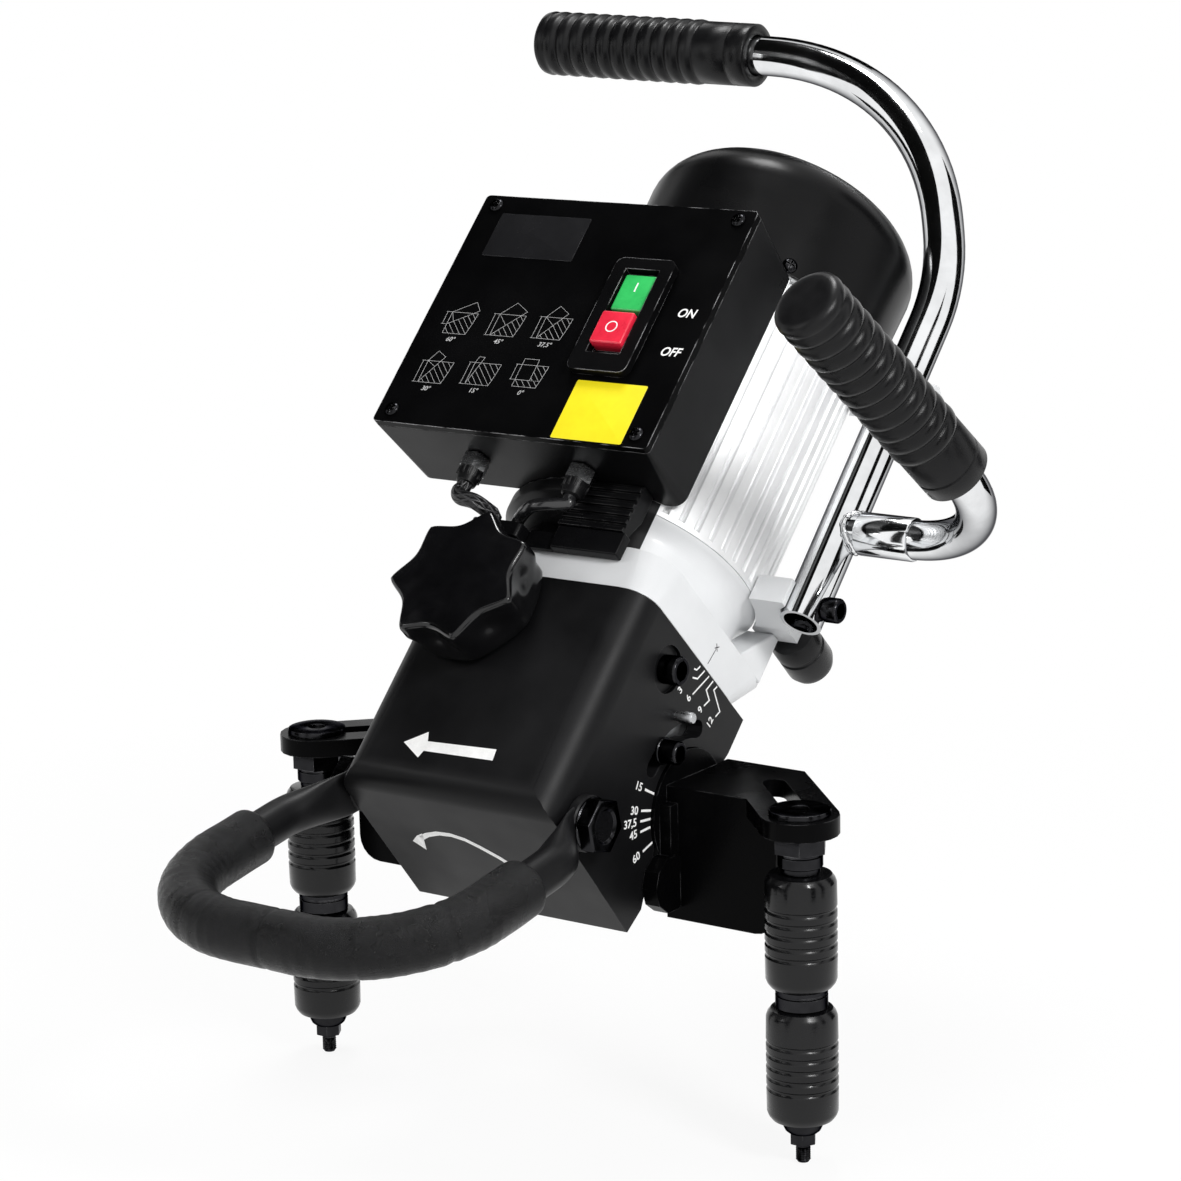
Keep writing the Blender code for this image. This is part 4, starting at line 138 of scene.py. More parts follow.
# Handle tubes, about the motor axis
MAIN_TUBE = 12.0
SIDE_TUBE = 11.0
TUBE_WALL = 2.2
MAIN_CORNERS = ((102.8, 25, 113), (99.9, 25, 348.3), (42.6, 0, 484.8), (-222.0, -10, 484.8))
MAIN_BENDS = (150.0, 165.0)
SIDE_CORNERS = ((115.1, 25, 174), (219.0, 25, 174), (178.0, -185, 174))
SIDE_BENDS = (58.0,)
GRIP_RADIUS = 20.0
GRIP_CAP = 8.0
TUBE_SCREWS = {"tube_screw": 123.5, "upper_tube_bracket": 268.0}

BODY_OF = {node: body for body, nodes in frame["record"]["behaviour"]["bodies"].items() for node in nodes}


# Shader node groups

def new_node(tree, kind, values=None, **settings):
    """One node, with socket values by name or number and its own settings."""
    node = tree.nodes.new(kind)
    for key, value in settings.items():
        setattr(node, key, value)
    for key, value in (values or {}).items():
        if isinstance(value, bpy.types.NodeSocket):
            tree.links.new(value, node.inputs[key])
        else:
            node.inputs[key].default_value = value
    return node


def new_group(name, inputs, outputs):
    """Empty shader group with named float inputs and outputs."""
    tree = bpy.data.node_groups.new(name, "ShaderNodeTree")
    for label, value in inputs.items():
        socket = tree.interface.new_socket(label, in_out="INPUT", socket_type="NodeSocketFloat")
        socket.default_value = value
    for label in outputs:
        tree.interface.new_socket(label, in_out="OUTPUT", socket_type="NodeSocketFloat")
    return tree, tree.nodes.new("NodeGroupInput").outputs, tree.nodes.new("NodeGroupOutput").inputs


def maths(tree, operation, first, second=0.0):
    return new_node(tree, "ShaderNodeMath", {0: first, 1: second}, operation=operation).outputs[0]


def ranged(tree, value, from_low, from_high, to_low=0.0, to_high=1.0):
    return new_node(tree, "ShaderNodeMapRange", {"Value": value, "From Min": from_low, "From Max": from_high,
                                                 "To Min": to_low, "To Max": to_high}).outputs["Result"]


def object_noise(tree, scale, detail, stretch=None, vector=None):
    """Noise on object coordinates, stretched where a scale vector is given."""
    if vector is None:
        vector = new_node(tree, "ShaderNodeTexCoord").outputs["Object"]
    if stretch is not None:
        vector = new_node(tree, "ShaderNodeMapping", {"Vector": vector, "Scale": stretch}).outputs["Vector"]
    return new_node(tree, "ShaderNodeTexNoise", {"Vector": vector, "Scale": scale, "Detail": detail}).outputs[0]


def worn_edges():
    """Mask of edges, broken up by noise; its tint is rubbed wear on some finishes and a painted highlight along the
    edges on others.
    """
    tree, given, out = new_group("Edge wear and highlight", {"Width": 0.001, "Breakup": 90.0}, ["Mask"])
    rounded = new_node(tree, "ShaderNodeBevel", {"Radius": given["Width"]}, samples=4).outputs[0]
    flat = new_node(tree, "ShaderNodeNewGeometry").outputs["Normal"]
    same = new_node(tree, "ShaderNodeVectorMath", {0: rounded, 1: flat}, operation="DOT_PRODUCT").outputs["Value"]
    edge = ranged(tree, maths(tree, "SUBTRACT", 1.0, same), 0.03, 0.2)
    patchy = ranged(tree, object_noise(tree, given["Breakup"], 4.0), 0.42, 0.62)
    tree.links.new(maths(tree, "MULTIPLY", edge, patchy), out["Mask"])
    return tree


def surface_grain():
    """Fine height of a moulded, cast or painted skin, and slow patches of tone."""
    tree, given, out = new_group("Surface grain", {"Grain scale": 900.0, "Patch scale": 12.0},
                                 ["Height", "Tone"])
    fine = object_noise(tree, given["Grain scale"], 3.0)
    slow = object_noise(tree, given["Patch scale"], 4.0)
    smear = object_noise(tree, maths(tree, "MULTIPLY", given["Patch scale"], 5.0), 2.0)
    tree.links.new(fine, out["Height"])
    both = maths(tree, "ADD", maths(tree, "MULTIPLY", slow, 0.7), maths(tree, "MULTIPLY", smear, 0.3))
    tree.links.new(ranged(tree, both, 0.35, 0.65), out["Tone"])
    return tree


def drawn_lines():
    """Fine parallel lines of drawn or turned metal, along the axis given as weights."""
    tree, given, out = new_group("Drawn lines", {"Scale": 700.0, "Along X": 1.0, "Along Y": 1.0, "Along Z": 0.03,
                                                 "Tilt": 0.0}, ["Height"])
    place = new_node(tree, "ShaderNodeTexCoord").outputs["Object"]
    turned_place = new_node(tree, "ShaderNodeVectorRotate",
                            {"Vector": place, "Angle": given["Tilt"]}, rotation_type="X_AXIS").outputs[0]
    weights = new_node(tree, "ShaderNodeCombineXYZ", {"X": given["Along X"], "Y": given["Along Y"],
                                                      "Z": given["Along Z"]}).outputs[0]
    scaled = new_node(tree, "ShaderNodeVectorMath", {0: turned_place, 1: weights}, operation="MULTIPLY").outputs[0]
    tree.links.new(object_noise(tree, given["Scale"], 2.0, vector=scaled), out["Height"])
    return tree


def leather_cells():
    """Fine wrinkled cells of a foam skin, with longer creases across them."""
    tree, given, out = new_group("Foam skin", {"Cell scale": 520.0, "Crease scale": 60.0}, ["Height", "Crease"])
    place = new_node(tree, "ShaderNodeTexCoord").outputs["Object"]
    cells = new_node(tree, "ShaderNodeTexVoronoi", {"Vector": place, "Scale": given["Cell scale"]},
                     feature="DISTANCE_TO_EDGE").outputs["Distance"]
    folds = object_noise(tree, given["Crease scale"], 5.0)
    ridge = maths(tree, "ABSOLUTE", maths(tree, "SUBTRACT", folds, 0.5))
    crease = ranged(tree, ridge, 0.0, 0.035)
    tree.links.new(ranged(tree, cells, 0.0, 0.25), out["Height"])
    tree.links.new(crease, out["Crease"])
    return tree


def braid_weave():
    """Crossed strands of a braided sleeve, on the piece's own map."""
    tree, given, out = new_group("Braided sleeve", {"Strands": 12.0, "Pitch": 16.0}, ["Height"])
    place = new_node(tree, "ShaderNodeTexCoord").outputs["UV"]
    parts = new_node(tree, "ShaderNodeSeparateXYZ", {"Vector": place}).outputs
    around = maths(tree, "MULTIPLY", maths(tree, "MULTIPLY", parts[0], given["Strands"]), math.tau)
    length = maths(tree, "MULTIPLY", maths(tree, "MULTIPLY", parts[1], given["Pitch"]), math.tau)
    one = maths(tree, "SINE", maths(tree, "ADD", around, length))
    other = maths(tree, "SINE", maths(tree, "SUBTRACT", around, length))
    tree.links.new(maths(tree, "MAXIMUM", one, other), out["Height"])
    return tree


EDGES, GRAIN, LINES, SKIN, BRAID = worn_edges(), surface_grain(), drawn_lines(), leather_cells(), braid_weave()


def use_group(tree, group, values):
    return new_node(tree, "ShaderNodeGroup", values, node_tree=group) if False else placed_group(tree, group, values)


def placed_group(tree, group, values):
    """A group node in a material, with its own values."""
    node = tree.nodes.new("ShaderNodeGroup")
    node.node_tree = group
    for key, value in values.items():
        node.inputs[key].default_value = value
    return node.outputs


def tinted(tree, factor, first, second):
    """Colour between two, by a mask."""
    mix = new_node(tree, "ShaderNodeMix", data_type="RGBA")
    for index, value in ((0, factor), (6, first), (7, second)):
        if isinstance(value, bpy.types.NodeSocket):
            tree.links.new(value, mix.inputs[index])
        else:
            mix.inputs[index].default_value = (*value, 1) if index else value
    return mix.outputs[2]


def finish(name, colour, rough, metal=0.0, grain=(900.0, 0.04), patches=(12.0, 0.12), edge_wear_and_highlight=None, lines=None,
           skin=None, braid=None, shader=None, painted_dark_rim=None):
    """Material: base colour with slow patches, edges tinted for wear and for painted highlight, creases darkened as
    painted shade, a painted dark rim at grazing angles, and relief from its own grain.
    """
    material = bpy.data.materials.new(name)
    material.use_nodes = True
    tree = material.node_tree
    surface = tree.nodes["Principled BSDF"]
    surface.inputs["Metallic"].default_value = metal
    for key, value in (shader or {}).items():
        surface.inputs[key].default_value = value
    fine = placed_group(tree, GRAIN, {"Grain scale": grain[0], "Patch scale": patches[0]})
    spread = patches[1]
    base = tinted(tree, fine["Tone"], [c * (1 - spread) for c in colour], [min(c * (1 + spread), 1) for c in colour])
    roughness = ranged(tree, fine["Tone"], 0, 1, max(rough - spread / 3, 0.02), min(rough + spread / 3, 1))
    heights = [(fine["Height"], grain[1], 0.3)]
    if lines:
        drawn = placed_group(tree, LINES, lines[0])
        heights.append((drawn["Height"], lines[1], 0.2))
        roughness = maths(tree, "ADD", roughness, ranged(tree, drawn["Height"], 0.3, 0.7, -lines[2], lines[2]))
    if skin:
        cells = placed_group(tree, SKIN, {"Cell scale": skin[0], "Crease scale": skin[1]})
        heights += [(cells["Height"], skin[2], 0.3), (cells["Crease"], skin[3], 0.6)]
        # Creases darkened in colour: painted shade.
        base = tinted(tree, cells["Crease"], [c * 0.45 for c in colour], base)
    if braid:
        strands = placed_group(tree, BRAID, {"Strands": braid[0], "Pitch": braid[1]})
        heights.append((strands["Height"], 0.9, 0.5))
        base = tinted(tree, ranged(tree, strands["Height"], 0.2, 0.9), [c * 0.2 for c in colour], base)
    # Edge tint: rubbed wear on paint and steel, painted highlight lines on the lid, switch guard, buttons and knob.
    if edge_wear_and_highlight:
        mask = placed_group(tree, EDGES, {"Width": edge_wear_and_highlight[1] * MM, "Breakup": 90.0})["Mask"]
        mask = maths(tree, "MULTIPLY", mask, edge_wear_and_highlight[2])
        base = tinted(tree, mask, base, edge_wear_and_highlight[0])
        if len(edge_wear_and_highlight) > 3:
            tree.links.new(maths(tree, "MULTIPLY", mask, edge_wear_and_highlight[3]), surface.inputs["Metallic"])
    # Painted reflection: base colour darkened at grazing angles, standing for dark streaks reflected along the edges.
    if painted_dark_rim:
        facing = new_node(tree, "ShaderNodeLayerWeight", {"Blend": 0.5}).outputs["Facing"]
        base = tinted(tree, ranged(tree, facing, 0.42, 0.85), base, painted_dark_rim)
    tree.links.new(base, surface.inputs["Base Color"])
    tree.links.new(roughness, surface.inputs["Roughness"])
    normal = None
    for height, strength, distance in heights:
        bump = new_node(tree, "ShaderNodeBump", {"Strength": strength, "Distance": distance * MM, "Height": height})
        if normal is not None:
            tree.links.new(normal, bump.inputs["Normal"])
        normal = bump.outputs["Normal"]
    tree.links.new(normal, surface.inputs["Normal"])
    return material


DARK_METAL = (0.16, 0.16, 0.165)
MOTOR_LINES = {"Scale": 500.0, "Along X": 1.0, "Along Y": 1.0, "Along Z": 0.02, "Tilt": 45 * DEG}
ROUND_LINES = {"Scale": 900.0, "Along X": 0.15, "Along Y": 0.15, "Along Z": 1.0, "Tilt": 0.0}

paint = finish("satin_black_paint", (0.0055, 0.0055, 0.006), 0.40, grain=(1300.0, 0.10), patches=(9.0, 0.25),
               edge_wear_and_highlight=(DARK_METAL, 0.7, 0.5, 0.5), shader={"Specular IOR Level": 0.15})
guide_paint = finish("guide_black_paint", (0.0015, 0.0015, 0.0017), 0.26, grain=(700.0, 0.08), patches=(14.0, 0.25),
                     edge_wear_and_highlight=(DARK_METAL, 0.8, 0.6, 0.5), shader={"Specular IOR Level": 0.04})
casting = finish("pale_casting_paint", (0.72, 0.73, 0.74), 0.4, grain=(1100.0, 0.12), patches=(10.0, 0.05),
                 edge_wear_and_highlight=((0.5, 0.5, 0.5), 0.6, 0.5), shader={"Coat Weight": 0.15})
aluminium = finish("extruded_aluminium", (0.90, 0.905, 0.91), 0.5, 0.6, grain=(1500.0, 0.05), patches=(16.0, 0.06),
                   lines=(MOTOR_LINES, 0.12, 0.05))
# Chrome with a painted dark rim: painted reflection darkening it towards its edges.
chrome = finish("chrome_plate", (0.84, 0.85, 0.86), 0.07, 1.0, grain=(60.0, 0.02), patches=(25.0, 0.10),
                painted_dark_rim=(0.07, 0.07, 0.075), shader={"Specular Tint": (0.3, 0.3, 0.31, 1.0)})
rubber = finish("ribbed_rubber", (0.005, 0.005, 0.0055), 0.30, grain=(1600.0, 0.22), patches=(30.0, 0.25),
                edge_wear_and_highlight=((0.05, 0.05, 0.051), 0.8, 0.5), shader={"Specular IOR Level": 0.22})
# Foam skin, its creases darkened in colour as painted shade.
foam = finish("foam_skin", (0.0045, 0.0045, 0.005), 0.33, grain=(1800.0, 0.8), patches=(20.0, 0.5),
              skin=(1500.0, 26.0, 0.5, 0.10), shader={"Specular IOR Level": 0.2})
zinc = finish("plated_steel", (0.52, 0.53, 0.54), 0.28, 1.0, grain=(900.0, 0.06), patches=(35.0, 0.15),
              edge_wear_and_highlight=((0.75, 0.75, 0.76), 0.5, 0.6), lines=(ROUND_LINES, 0.12, 0.05))
dark_steel = finish("blackened_steel", (0.026, 0.026, 0.028), 0.2, 1.0, grain=(1200.0, 0.08), patches=(40.0, 0.25),
                    edge_wear_and_highlight=((0.45, 0.45, 0.46), 0.4, 0.7), lines=(ROUND_LINES, 0.10, 0.05),
                    shader={"Specular Tint": (0.3, 0.3, 0.31, 1.0)})
ground_steel = finish("ground_steel", (0.45, 0.46, 0.47), 0.33, 1.0, grain=(1000.0, 0.06), patches=(25.0, 0.15),
                      lines=(MOTOR_LINES, 0.2, 0.06))
plastic = finish("box_plastic", (0.004, 0.004, 0.0045), 0.32, grain=(2200.0, 0.16), patches=(10.0, 0.2),
                 edge_wear_and_highlight=((0.16, 0.16, 0.16), 0.7, 0.8), shader={"Specular IOR Level": 0.14})
# Bright edge tint on the switch guard: painted highlight lines along its frame.
guard_plastic = finish("switch_guard_plastic", (0.003, 0.003, 0.0033), 0.3, grain=(2200.0, 0.10), patches=(10.0, 0.2),
                       edge_wear_and_highlight=((0.45, 0.45, 0.46), 0.7, 1.6), shader={"Specular IOR Level": 0.08})
# Lighter edge tint on the knob: partly wear, partly a painted highlight along the lobe edges.
knob_plastic = finish("knob_plastic", (0.0035, 0.0035, 0.004), 0.17, grain=(1400.0, 0.08), patches=(22.0, 0.25),
                      edge_wear_and_highlight=((0.2, 0.2, 0.2), 1.0, 0.5), shader={"Specular IOR Level": 0.5})
roller_plastic = finish("roller_plastic", (0.0035, 0.0035, 0.004), 0.2, grain=(900.0, 0.08), patches=(30.0, 0.25),
                        edge_wear_and_highlight=((0.07, 0.07, 0.07), 0.8, 0.45), lines=(ROUND_LINES, 0.15, 0.05),
                        shader={"Specular IOR Level": 0.33})
cowl_paint = finish("cowl_paint", (0.003, 0.003, 0.0033), 0.3, grain=(1500.0, 0.10), patches=(8.0, 0.2),
                    edge_wear_and_highlight=(DARK_METAL, 0.6, 0.4, 0.5), shader={"Specular IOR Level": 0.13})
# Bright edge tint on the lid: painted highlight lines along its edges.
lid_paint = finish("lid_paint", (0.0015, 0.0015, 0.0017), 0.34, grain=(1900.0, 0.06), patches=(9.0, 0.2),
                   edge_wear_and_highlight=((0.5, 0.5, 0.51), 0.7, 1.4), shader={"Specular IOR Level": 0.06})
# Pale edge tints on the buttons: painted highlights standing for the shine of their clear covers.
green = finish("green_button", (0.03, 0.50, 0.11), 0.3, grain=(700.0, 0.05), patches=(60.0, 0.12),
               edge_wear_and_highlight=((0.35, 0.80, 0.45), 0.9, 0.9), shader={"Coat Weight": 0.4, "Coat Roughness": 0.15})
red = finish("red_button", (0.78, 0.018, 0.05), 0.3, grain=(700.0, 0.05), patches=(60.0, 0.12),
             edge_wear_and_highlight=((0.95, 0.40, 0.50), 0.9, 0.9), shader={"Coat Weight": 0.4, "Coat Roughness": 0.15})
white_print = finish("white_print", (0.90, 0.90, 0.89), 0.5, grain=(2600.0, 0.15), patches=(180.0, 0.06))
grey_print = finish("fine_white_print", (0.46, 0.46, 0.46), 0.5, grain=(2600.0, 0.15), patches=(200.0, 0.15))
yellow = finish("yellow_film", (0.90, 0.76, 0.008), 0.35, grain=(300.0, 0.05), patches=(40.0, 0.05),
                edge_wear_and_highlight=((0.98, 0.92, 0.45), 0.4, 0.5), shader={"Coat Weight": 0.2, "Coat Roughness": 0.2})
plate_film = finish("bare_plate_film", (0.010, 0.010, 0.011), 0.25, grain=(300.0, 0.04), patches=(30.0, 0.1),
                    edge_wear_and_highlight=((0.25, 0.25, 0.26), 0.4, 0.7), shader={"Specular IOR Level": 0.15})
sleeve = finish("braided_sleeve", (0.03, 0.03, 0.032), 0.4, grain=(2400.0, 0.1), patches=(40.0, 0.2),
                braid=(7.0, 120.0))
lead_skin = finish("lead_skin", (0.012, 0.012, 0.013), 0.18, grain=(900.0, 0.05), patches=(40.0, 0.2),
                   shader={"Specular IOR Level": 0.8})
copper = finish("copper_winding", (0.60, 0.27, 0.12), 0.38, 1.0, grain=(500.0, 0.3), patches=(40.0, 0.2),
                lines=(ROUND_LINES, 0.5, 0.05))
carbide = finish("coated_carbide", (0.62, 0.50, 0.20), 0.28, 1.0, grain=(1800.0, 0.06), patches=(60.0, 0.15))


# Shapes

def sealed(bm):
    """Doubles merged and faces turned outwards."""
    bmesh.ops.remove_doubles(bm, verts=bm.verts, dist=MERGE)
    bmesh.ops.recalc_face_normals(bm, faces=bm.faces)
    return bm


def turned(profile, sides=64):
    """Solid of revolution about Z through points of radius and height."""
    bm = bmesh.new()
    line = [bm.verts.new((radius * MM, 0, height * MM)) for radius, height in profile]
    edges = [bm.edges.new(ends) for ends in zip(line, line[1:])]
    bmesh.ops.spin(bm, geom=line + edges, axis=(0, 0, 1), cent=(0, 0, 0), steps=sides, angle=math.tau,
                   use_merge=True)
    return sealed(bm)


def eased(low, high, radius, ease, inner=0.0):
    """Profile of a disc or ring whose edges are eased."""
    return [(inner, low), (radius - ease, low), (radius, low + ease), (radius, high - ease),
            (radius - ease, high), (inner, high)] + ([(inner, low)] if inner else [])


def block(outline, low, high, ease=0.0):
    """Outline in the plane, extruded from low to high, with eased edges."""
    bm = bmesh.new()
    face = bm.faces.new([bm.verts.new((x * MM, y * MM, low * MM)) for x, y in outline])
    grown = bmesh.ops.extrude_face_region(bm, geom=[face])
    top = [v for v in grown["geom"] if isinstance(v, bmesh.types.BMVert)]
    bmesh.ops.translate(bm, verts=top, vec=(0, 0, (high - low) * MM))
    sealed(bm)
    if ease:
        painted_dark_rim = [e for e in bm.edges if all(abs(v.co.z - high * MM) < MERGE for v in e.verts)]
        bmesh.ops.bevel(bm, geom=painted_dark_rim, offset=ease * MM, segments=3, profile=0.5, affect="EDGES", material=-1)
    return bm


def rounded_rectangle(low_x, high_x, low_y, high_y, radius, steps=6):
    points = []
    for cx, cy, start in ((high_x - radius, high_y - radius, 0), (low_x + radius, high_y - radius, 90),
                          (low_x + radius, low_y + radius, 180), (high_x - radius, low_y + radius, 270)):
        for step in range(steps + 1):
            angle = (start + 90 * step / steps) * DEG
            points.append((cx + radius * math.cos(angle), cy + radius * math.sin(angle)))
    return points


def bridged(rings, closed=False):
    """Skin over rings of points, bridged one to the next and capped at its ends."""
    bm = bmesh.new()
    loops = []
    for ring in rings:
        verts = [bm.verts.new(point) for point in ring]
        edges = [bm.edges.new((a, b)) for a, b in zip(verts, verts[1:] + verts[:1])]
        loops.append((verts, edges))
    pairs = list(zip(loops, loops[1:])) + ([(loops[-1], loops[0])] if closed else [])
    for (_, first), (_, second) in pairs:
        bmesh.ops.bridge_loops(bm, edges=first + second)
    if not closed:
        bm.faces.new(loops[0][0])
        bm.faces.new(loops[-1][0])
    bmesh.ops.recalc_face_normals(bm, faces=bm.faces)
    return bm


def filleted(corners, bends, step=3 * DEG):
    """Path in millimetres whose inner corners are arcs."""
    points = [Vector(corner) for corner in corners]
    path = [points[0]]
    for before, here, after, radius in zip(points, points[1:], points[2:], bends):
        back, ahead = (before - here).normalized(), (after - here).normalized()
        opening = back.angle(ahead)
        centre = here + (back + ahead).normalized() * (radius / math.sin(opening / 2))
        first = here + back * (radius / math.tan(opening / 2)) - centre
        last = here + ahead * (radius / math.tan(opening / 2)) - centre
        bend = math.pi - opening
        count = max(2, math.ceil(bend / step))
        for number in range(count + 1):
            share = number / count
            path.append(centre + first * (math.sin((1 - share) * bend) / math.sin(bend))
                        + last * (math.sin(share * bend) / math.sin(bend)))
    return path + [points[-1]]


def length_of(path):
    return sum((b - a).length for a, b in zip(path, path[1:]))


def at_distance(path, distance):
    for a, b in zip(path, path[1:]):
        span = (b - a).length
        if distance <= span:
            return a.lerp(b, distance / span)
        distance -= span
    return path[-1].copy()


def evenly(path, start, end, spacing):
    """Evenly spaced points between two distances along a path."""
    count = max(2, round((end - start) / spacing))
    return [at_distance(path, start + (end - start) * number / count) for number in range(count + 1)]


def rings_along(path, sizes, sides, hint):
    """Oval rings square to a path; sizes give half width and half height."""
    rings = []
    for index, point in enumerate(path):
        tangent = (path[min(index + 1, len(path) - 1)] - path[max(index - 1, 0)]).normalized()
        across = (hint - tangent * hint.dot(tangent)).normalized()
        other = tangent.cross(across)
        width, height = sizes[index]
        rings.append([(point + other * (width * math.cos(math.tau * n / sides))
                       + across * (height * math.sin(math.tau * n / sides))) * MM for n in range(sides)])
    return rings


def mapped(bm, path, sides):
    """Gives a swept piece its own map: round it across, and along it in metres."""
    travelled = [0.0]
    for a, b in zip(path, path[1:]):
        travelled.append(travelled[-1] + (b - a).length * MM)
    bm.verts.ensure_lookup_table()
    layer = bm.loops.layers.uv.new("UVMap")
    for face in bm.faces:
        columns = [loop.vert.index % sides for loop in face.loops]
        wraps = max(columns) - min(columns) > sides / 2
        for loop, column in zip(face.loops, columns):
            across = (column + (sides if wraps and column == 0 else 0)) / sides
            loop[layer].uv = (across, travelled[loop.vert.index // sides])
    return bm


def swept(path, radius, hint, sides=32, wall=0.0):
    """Round rod or open tube along a path in millimetres."""
    outer = rings_along(path, [(radius, radius)] * len(path), sides, hint)
    if not wall:
        bm = bridged(outer)
        bm.verts.index_update()
        return mapped(bm, path, sides)
    inner = rings_along(path, [(radius - wall, radius - wall)] * len(path), sides, hint)
    return bridged(outer + inner[::-1], closed=True)


def hexagon(flats, low, high, ease=0.8):
    reach = flats / math.sqrt(3)
    return block([(reach * math.cos(n * 60 * DEG), reach * math.sin(n * 60 * DEG)) for n in range(6)],
                 low, high, ease)


def merged(*solids):
    """Several shapes in one mesh."""
    bm = bmesh.new()
    for solid in solids:
        mesh = bpy.data.meshes.new("shape")
        solid.to_mesh(mesh)
        bm.from_mesh(mesh)
        bpy.data.meshes.remove(mesh)
        solid.free()
    return bm


def set_at(bm, x=0.0, y=0.0, z=0.0, turn=None):
    bm.transform(Matrix.Translation((x * MM, y * MM, z * MM)) @ (turn or Matrix.Identity(4)))
    return bm


def socket_head(radius, height, key, depth, knurls=28, washer=0.0, washer_height=0.0):
    """Knurled cap head with a hexagon socket, its seat at height zero."""
    def ring(reach, level, wave=0.0):
        count = 2 * knurls
        return [Vector(((reach - wave * (n % 2)) * math.cos(math.tau * n / count),
                        (reach - wave * (n % 2)) * math.sin(math.tau * n / count), level)) * MM
                for n in range(count)]

    def key_ring(level):
        corners = [Vector((key * math.cos(n * 60 * DEG), key * math.sin(n * 60 * DEG), 0)) for n in range(6)]
        points = []
        for number in range(2 * knurls):
            place = number * 6 / (2 * knurls)
            low = int(place)
            point = corners[low].lerp(corners[(low + 1) % 6], place - low)
            points.append(Vector((point.x, point.y, level)) * MM)
        return points

    base = washer_height
    top = base + height
    head = bridged([ring(radius - 0.4, base), ring(radius, base + 0.4, 0.25), ring(radius, top - 1.2, 0.25),
                    ring(radius - 0.2, top - 0.8), ring(radius - 0.9, top), ring(key + 0.9, top),
                    key_ring(top - 0.3), key_ring(top - depth)])
    if not washer:
        return head
    return merged(turned(eased(0, washer_height + 0.05, washer, 0.4)), head)


def cross_head(radius, height):
    """Domed screw head with a cross recess, its seat at height zero."""
    dome = turned([(0, 0), (radius, 0), (radius, height * 0.25), (radius * 0.9, height * 0.6),
                   (radius * 0.6, height * 0.9), (0, height)], 32)
    arm = radius * 0.62
    slot = radius * 0.14
    cutter = merged(block([(-arm, -slot), (arm, -slot), (arm, slot), (-arm, slot)], height * 0.3, height * 1.5),
                    block([(-slot, -arm), (slot, -arm), (slot, arm), (-slot, arm)], height * 0.3, height * 1.5))
    return carved(dome, cutter)


def carved(solid, cutter):
    """Exact Boolean cut, applied at once."""
    objects = []
    for bm in (solid, cutter):
        mesh = bpy.data.meshes.new("carving")
        bm.to_mesh(mesh)
        bm.free()
        item = bpy.data.objects.new("carving", mesh)
        bpy.context.scene.collection.objects.link(item)
        objects.append(item)
    change = objects[0].modifiers.new("cut", "BOOLEAN")
    change.operation, change.solver, change.object, change.use_self = "DIFFERENCE", "EXACT", objects[1], True
    graph = bpy.context.evaluated_depsgraph_get()
    shaped = bpy.data.meshes.new_from_object(objects[0].evaluated_get(graph))
    result = bmesh.new()
    result.from_mesh(shaped)
    bpy.data.meshes.remove(shaped)
    for item in objects:
        mesh = item.data
        bpy.data.objects.remove(item)
        bpy.data.meshes.remove(mesh)
    return result


# Pieces

def piece(name, bm, material, *nodes, place=None, body=None, crease=35, even=False):
    """One finished piece, riding on its body and standing for its nodes."""
    if place is not None:
        bm.transform(place)
        if place.determinant() < 0:
            bmesh.ops.reverse_faces(bm, faces=bm.faces)
    mesh = bpy.data.meshes.new(name)
    bm.to_mesh(mesh)
    bm.free()
    mesh.shade_smooth()
    mesh.set_sharp_from_angle(angle=crease * DEG)
    mesh.materials.append(material)
    item = bpy.data.objects.new(name, mesh)
    bpy.context.scene.collection.objects.link(item)
    if even:
        weights = item.modifiers.new("even_normals", "WEIGHTED_NORMAL")
        weights.keep_sharp = True
    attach(item, body or BODY_OF[nodes[0]])
    if nodes:
        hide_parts(*nodes)
    return item


def on_both_sides(name, make, material, place, *more):
    """The same piece on the right and, mirrored, on the left."""
    for side, flip in (("right", Matrix.Identity(4)), ("left", MIRROR)):
        piece(name + "_" + side + "_finished", make(), material, name + "_" + side, place=flip @ place, *more)


def corners_drawn_in(bm):
    """Corners of the box and its lid brought to the tight rounding of the picture."""
    to_motor = MOTOR.inverted()
    for vert in bm.verts:
        x, y, z = to_motor @ vert.co / MM
        flare = BOX_FLARE * min(max((-y - BOX_BACK) / (BOX_FRONT - BOX_BACK), 0.0), 1.0)
        drawn = BOX_CORNER + flare
        tight = LID_CORNER + (BOX_REAR_CORNER - LID_CORNER) * (1 - flare / BOX_FLARE)
        for side_x, edge_x in ((-1, BOX_SIDES[0] - flare), (1, BOX_SIDES[1] + flare)):
            for side_z, edge_z in ((-1, LID[2]), (1, LID[3])):
                centre = Vector((edge_x - side_x * drawn, edge_z - side_z * drawn))
                away = Vector((x, z)) - centre
                outside = away.x * side_x > -0.01 and away.y * side_z > -0.01
                if outside and abs(away.length - drawn) < 0.5:
                    x, z = centre + Vector((side_x, side_z)) * (drawn - tight) + away * (tight / drawn)
                    vert.co = MOTOR @ (Vector((x, y, z)) * MM)


def eased_copy(node, material, ease=0.5, crease=30, name=None):
    """Merged copy of a node with its sharp edges eased."""
    bm = bmesh.new()
    bm.from_mesh(frame["nodes"][node].data)
    bmesh.ops.remove_doubles(bm, verts=bm.verts, dist=MERGE)
    if node in ("switch_box", "box_lid"):
        corners_drawn_in(bm)
    bmesh.ops.dissolve_limit(bm, angle_limit=0.5 * DEG, verts=bm.verts, edges=bm.edges)
    if ease:
        sharp = [e for e in bm.edges if len(e.link_faces) == 2 and e.calc_face_angle(0) > crease * DEG]
        bmesh.ops.bevel(bm, geom=sharp, offset=ease * MM, offset_type="OFFSET", segments=2, profile=0.5,
                        affect="EDGES", clamp_overlap=True, material=-1)
    return piece(name or node + "_finished", bm, material, node, crease=38, even=True)


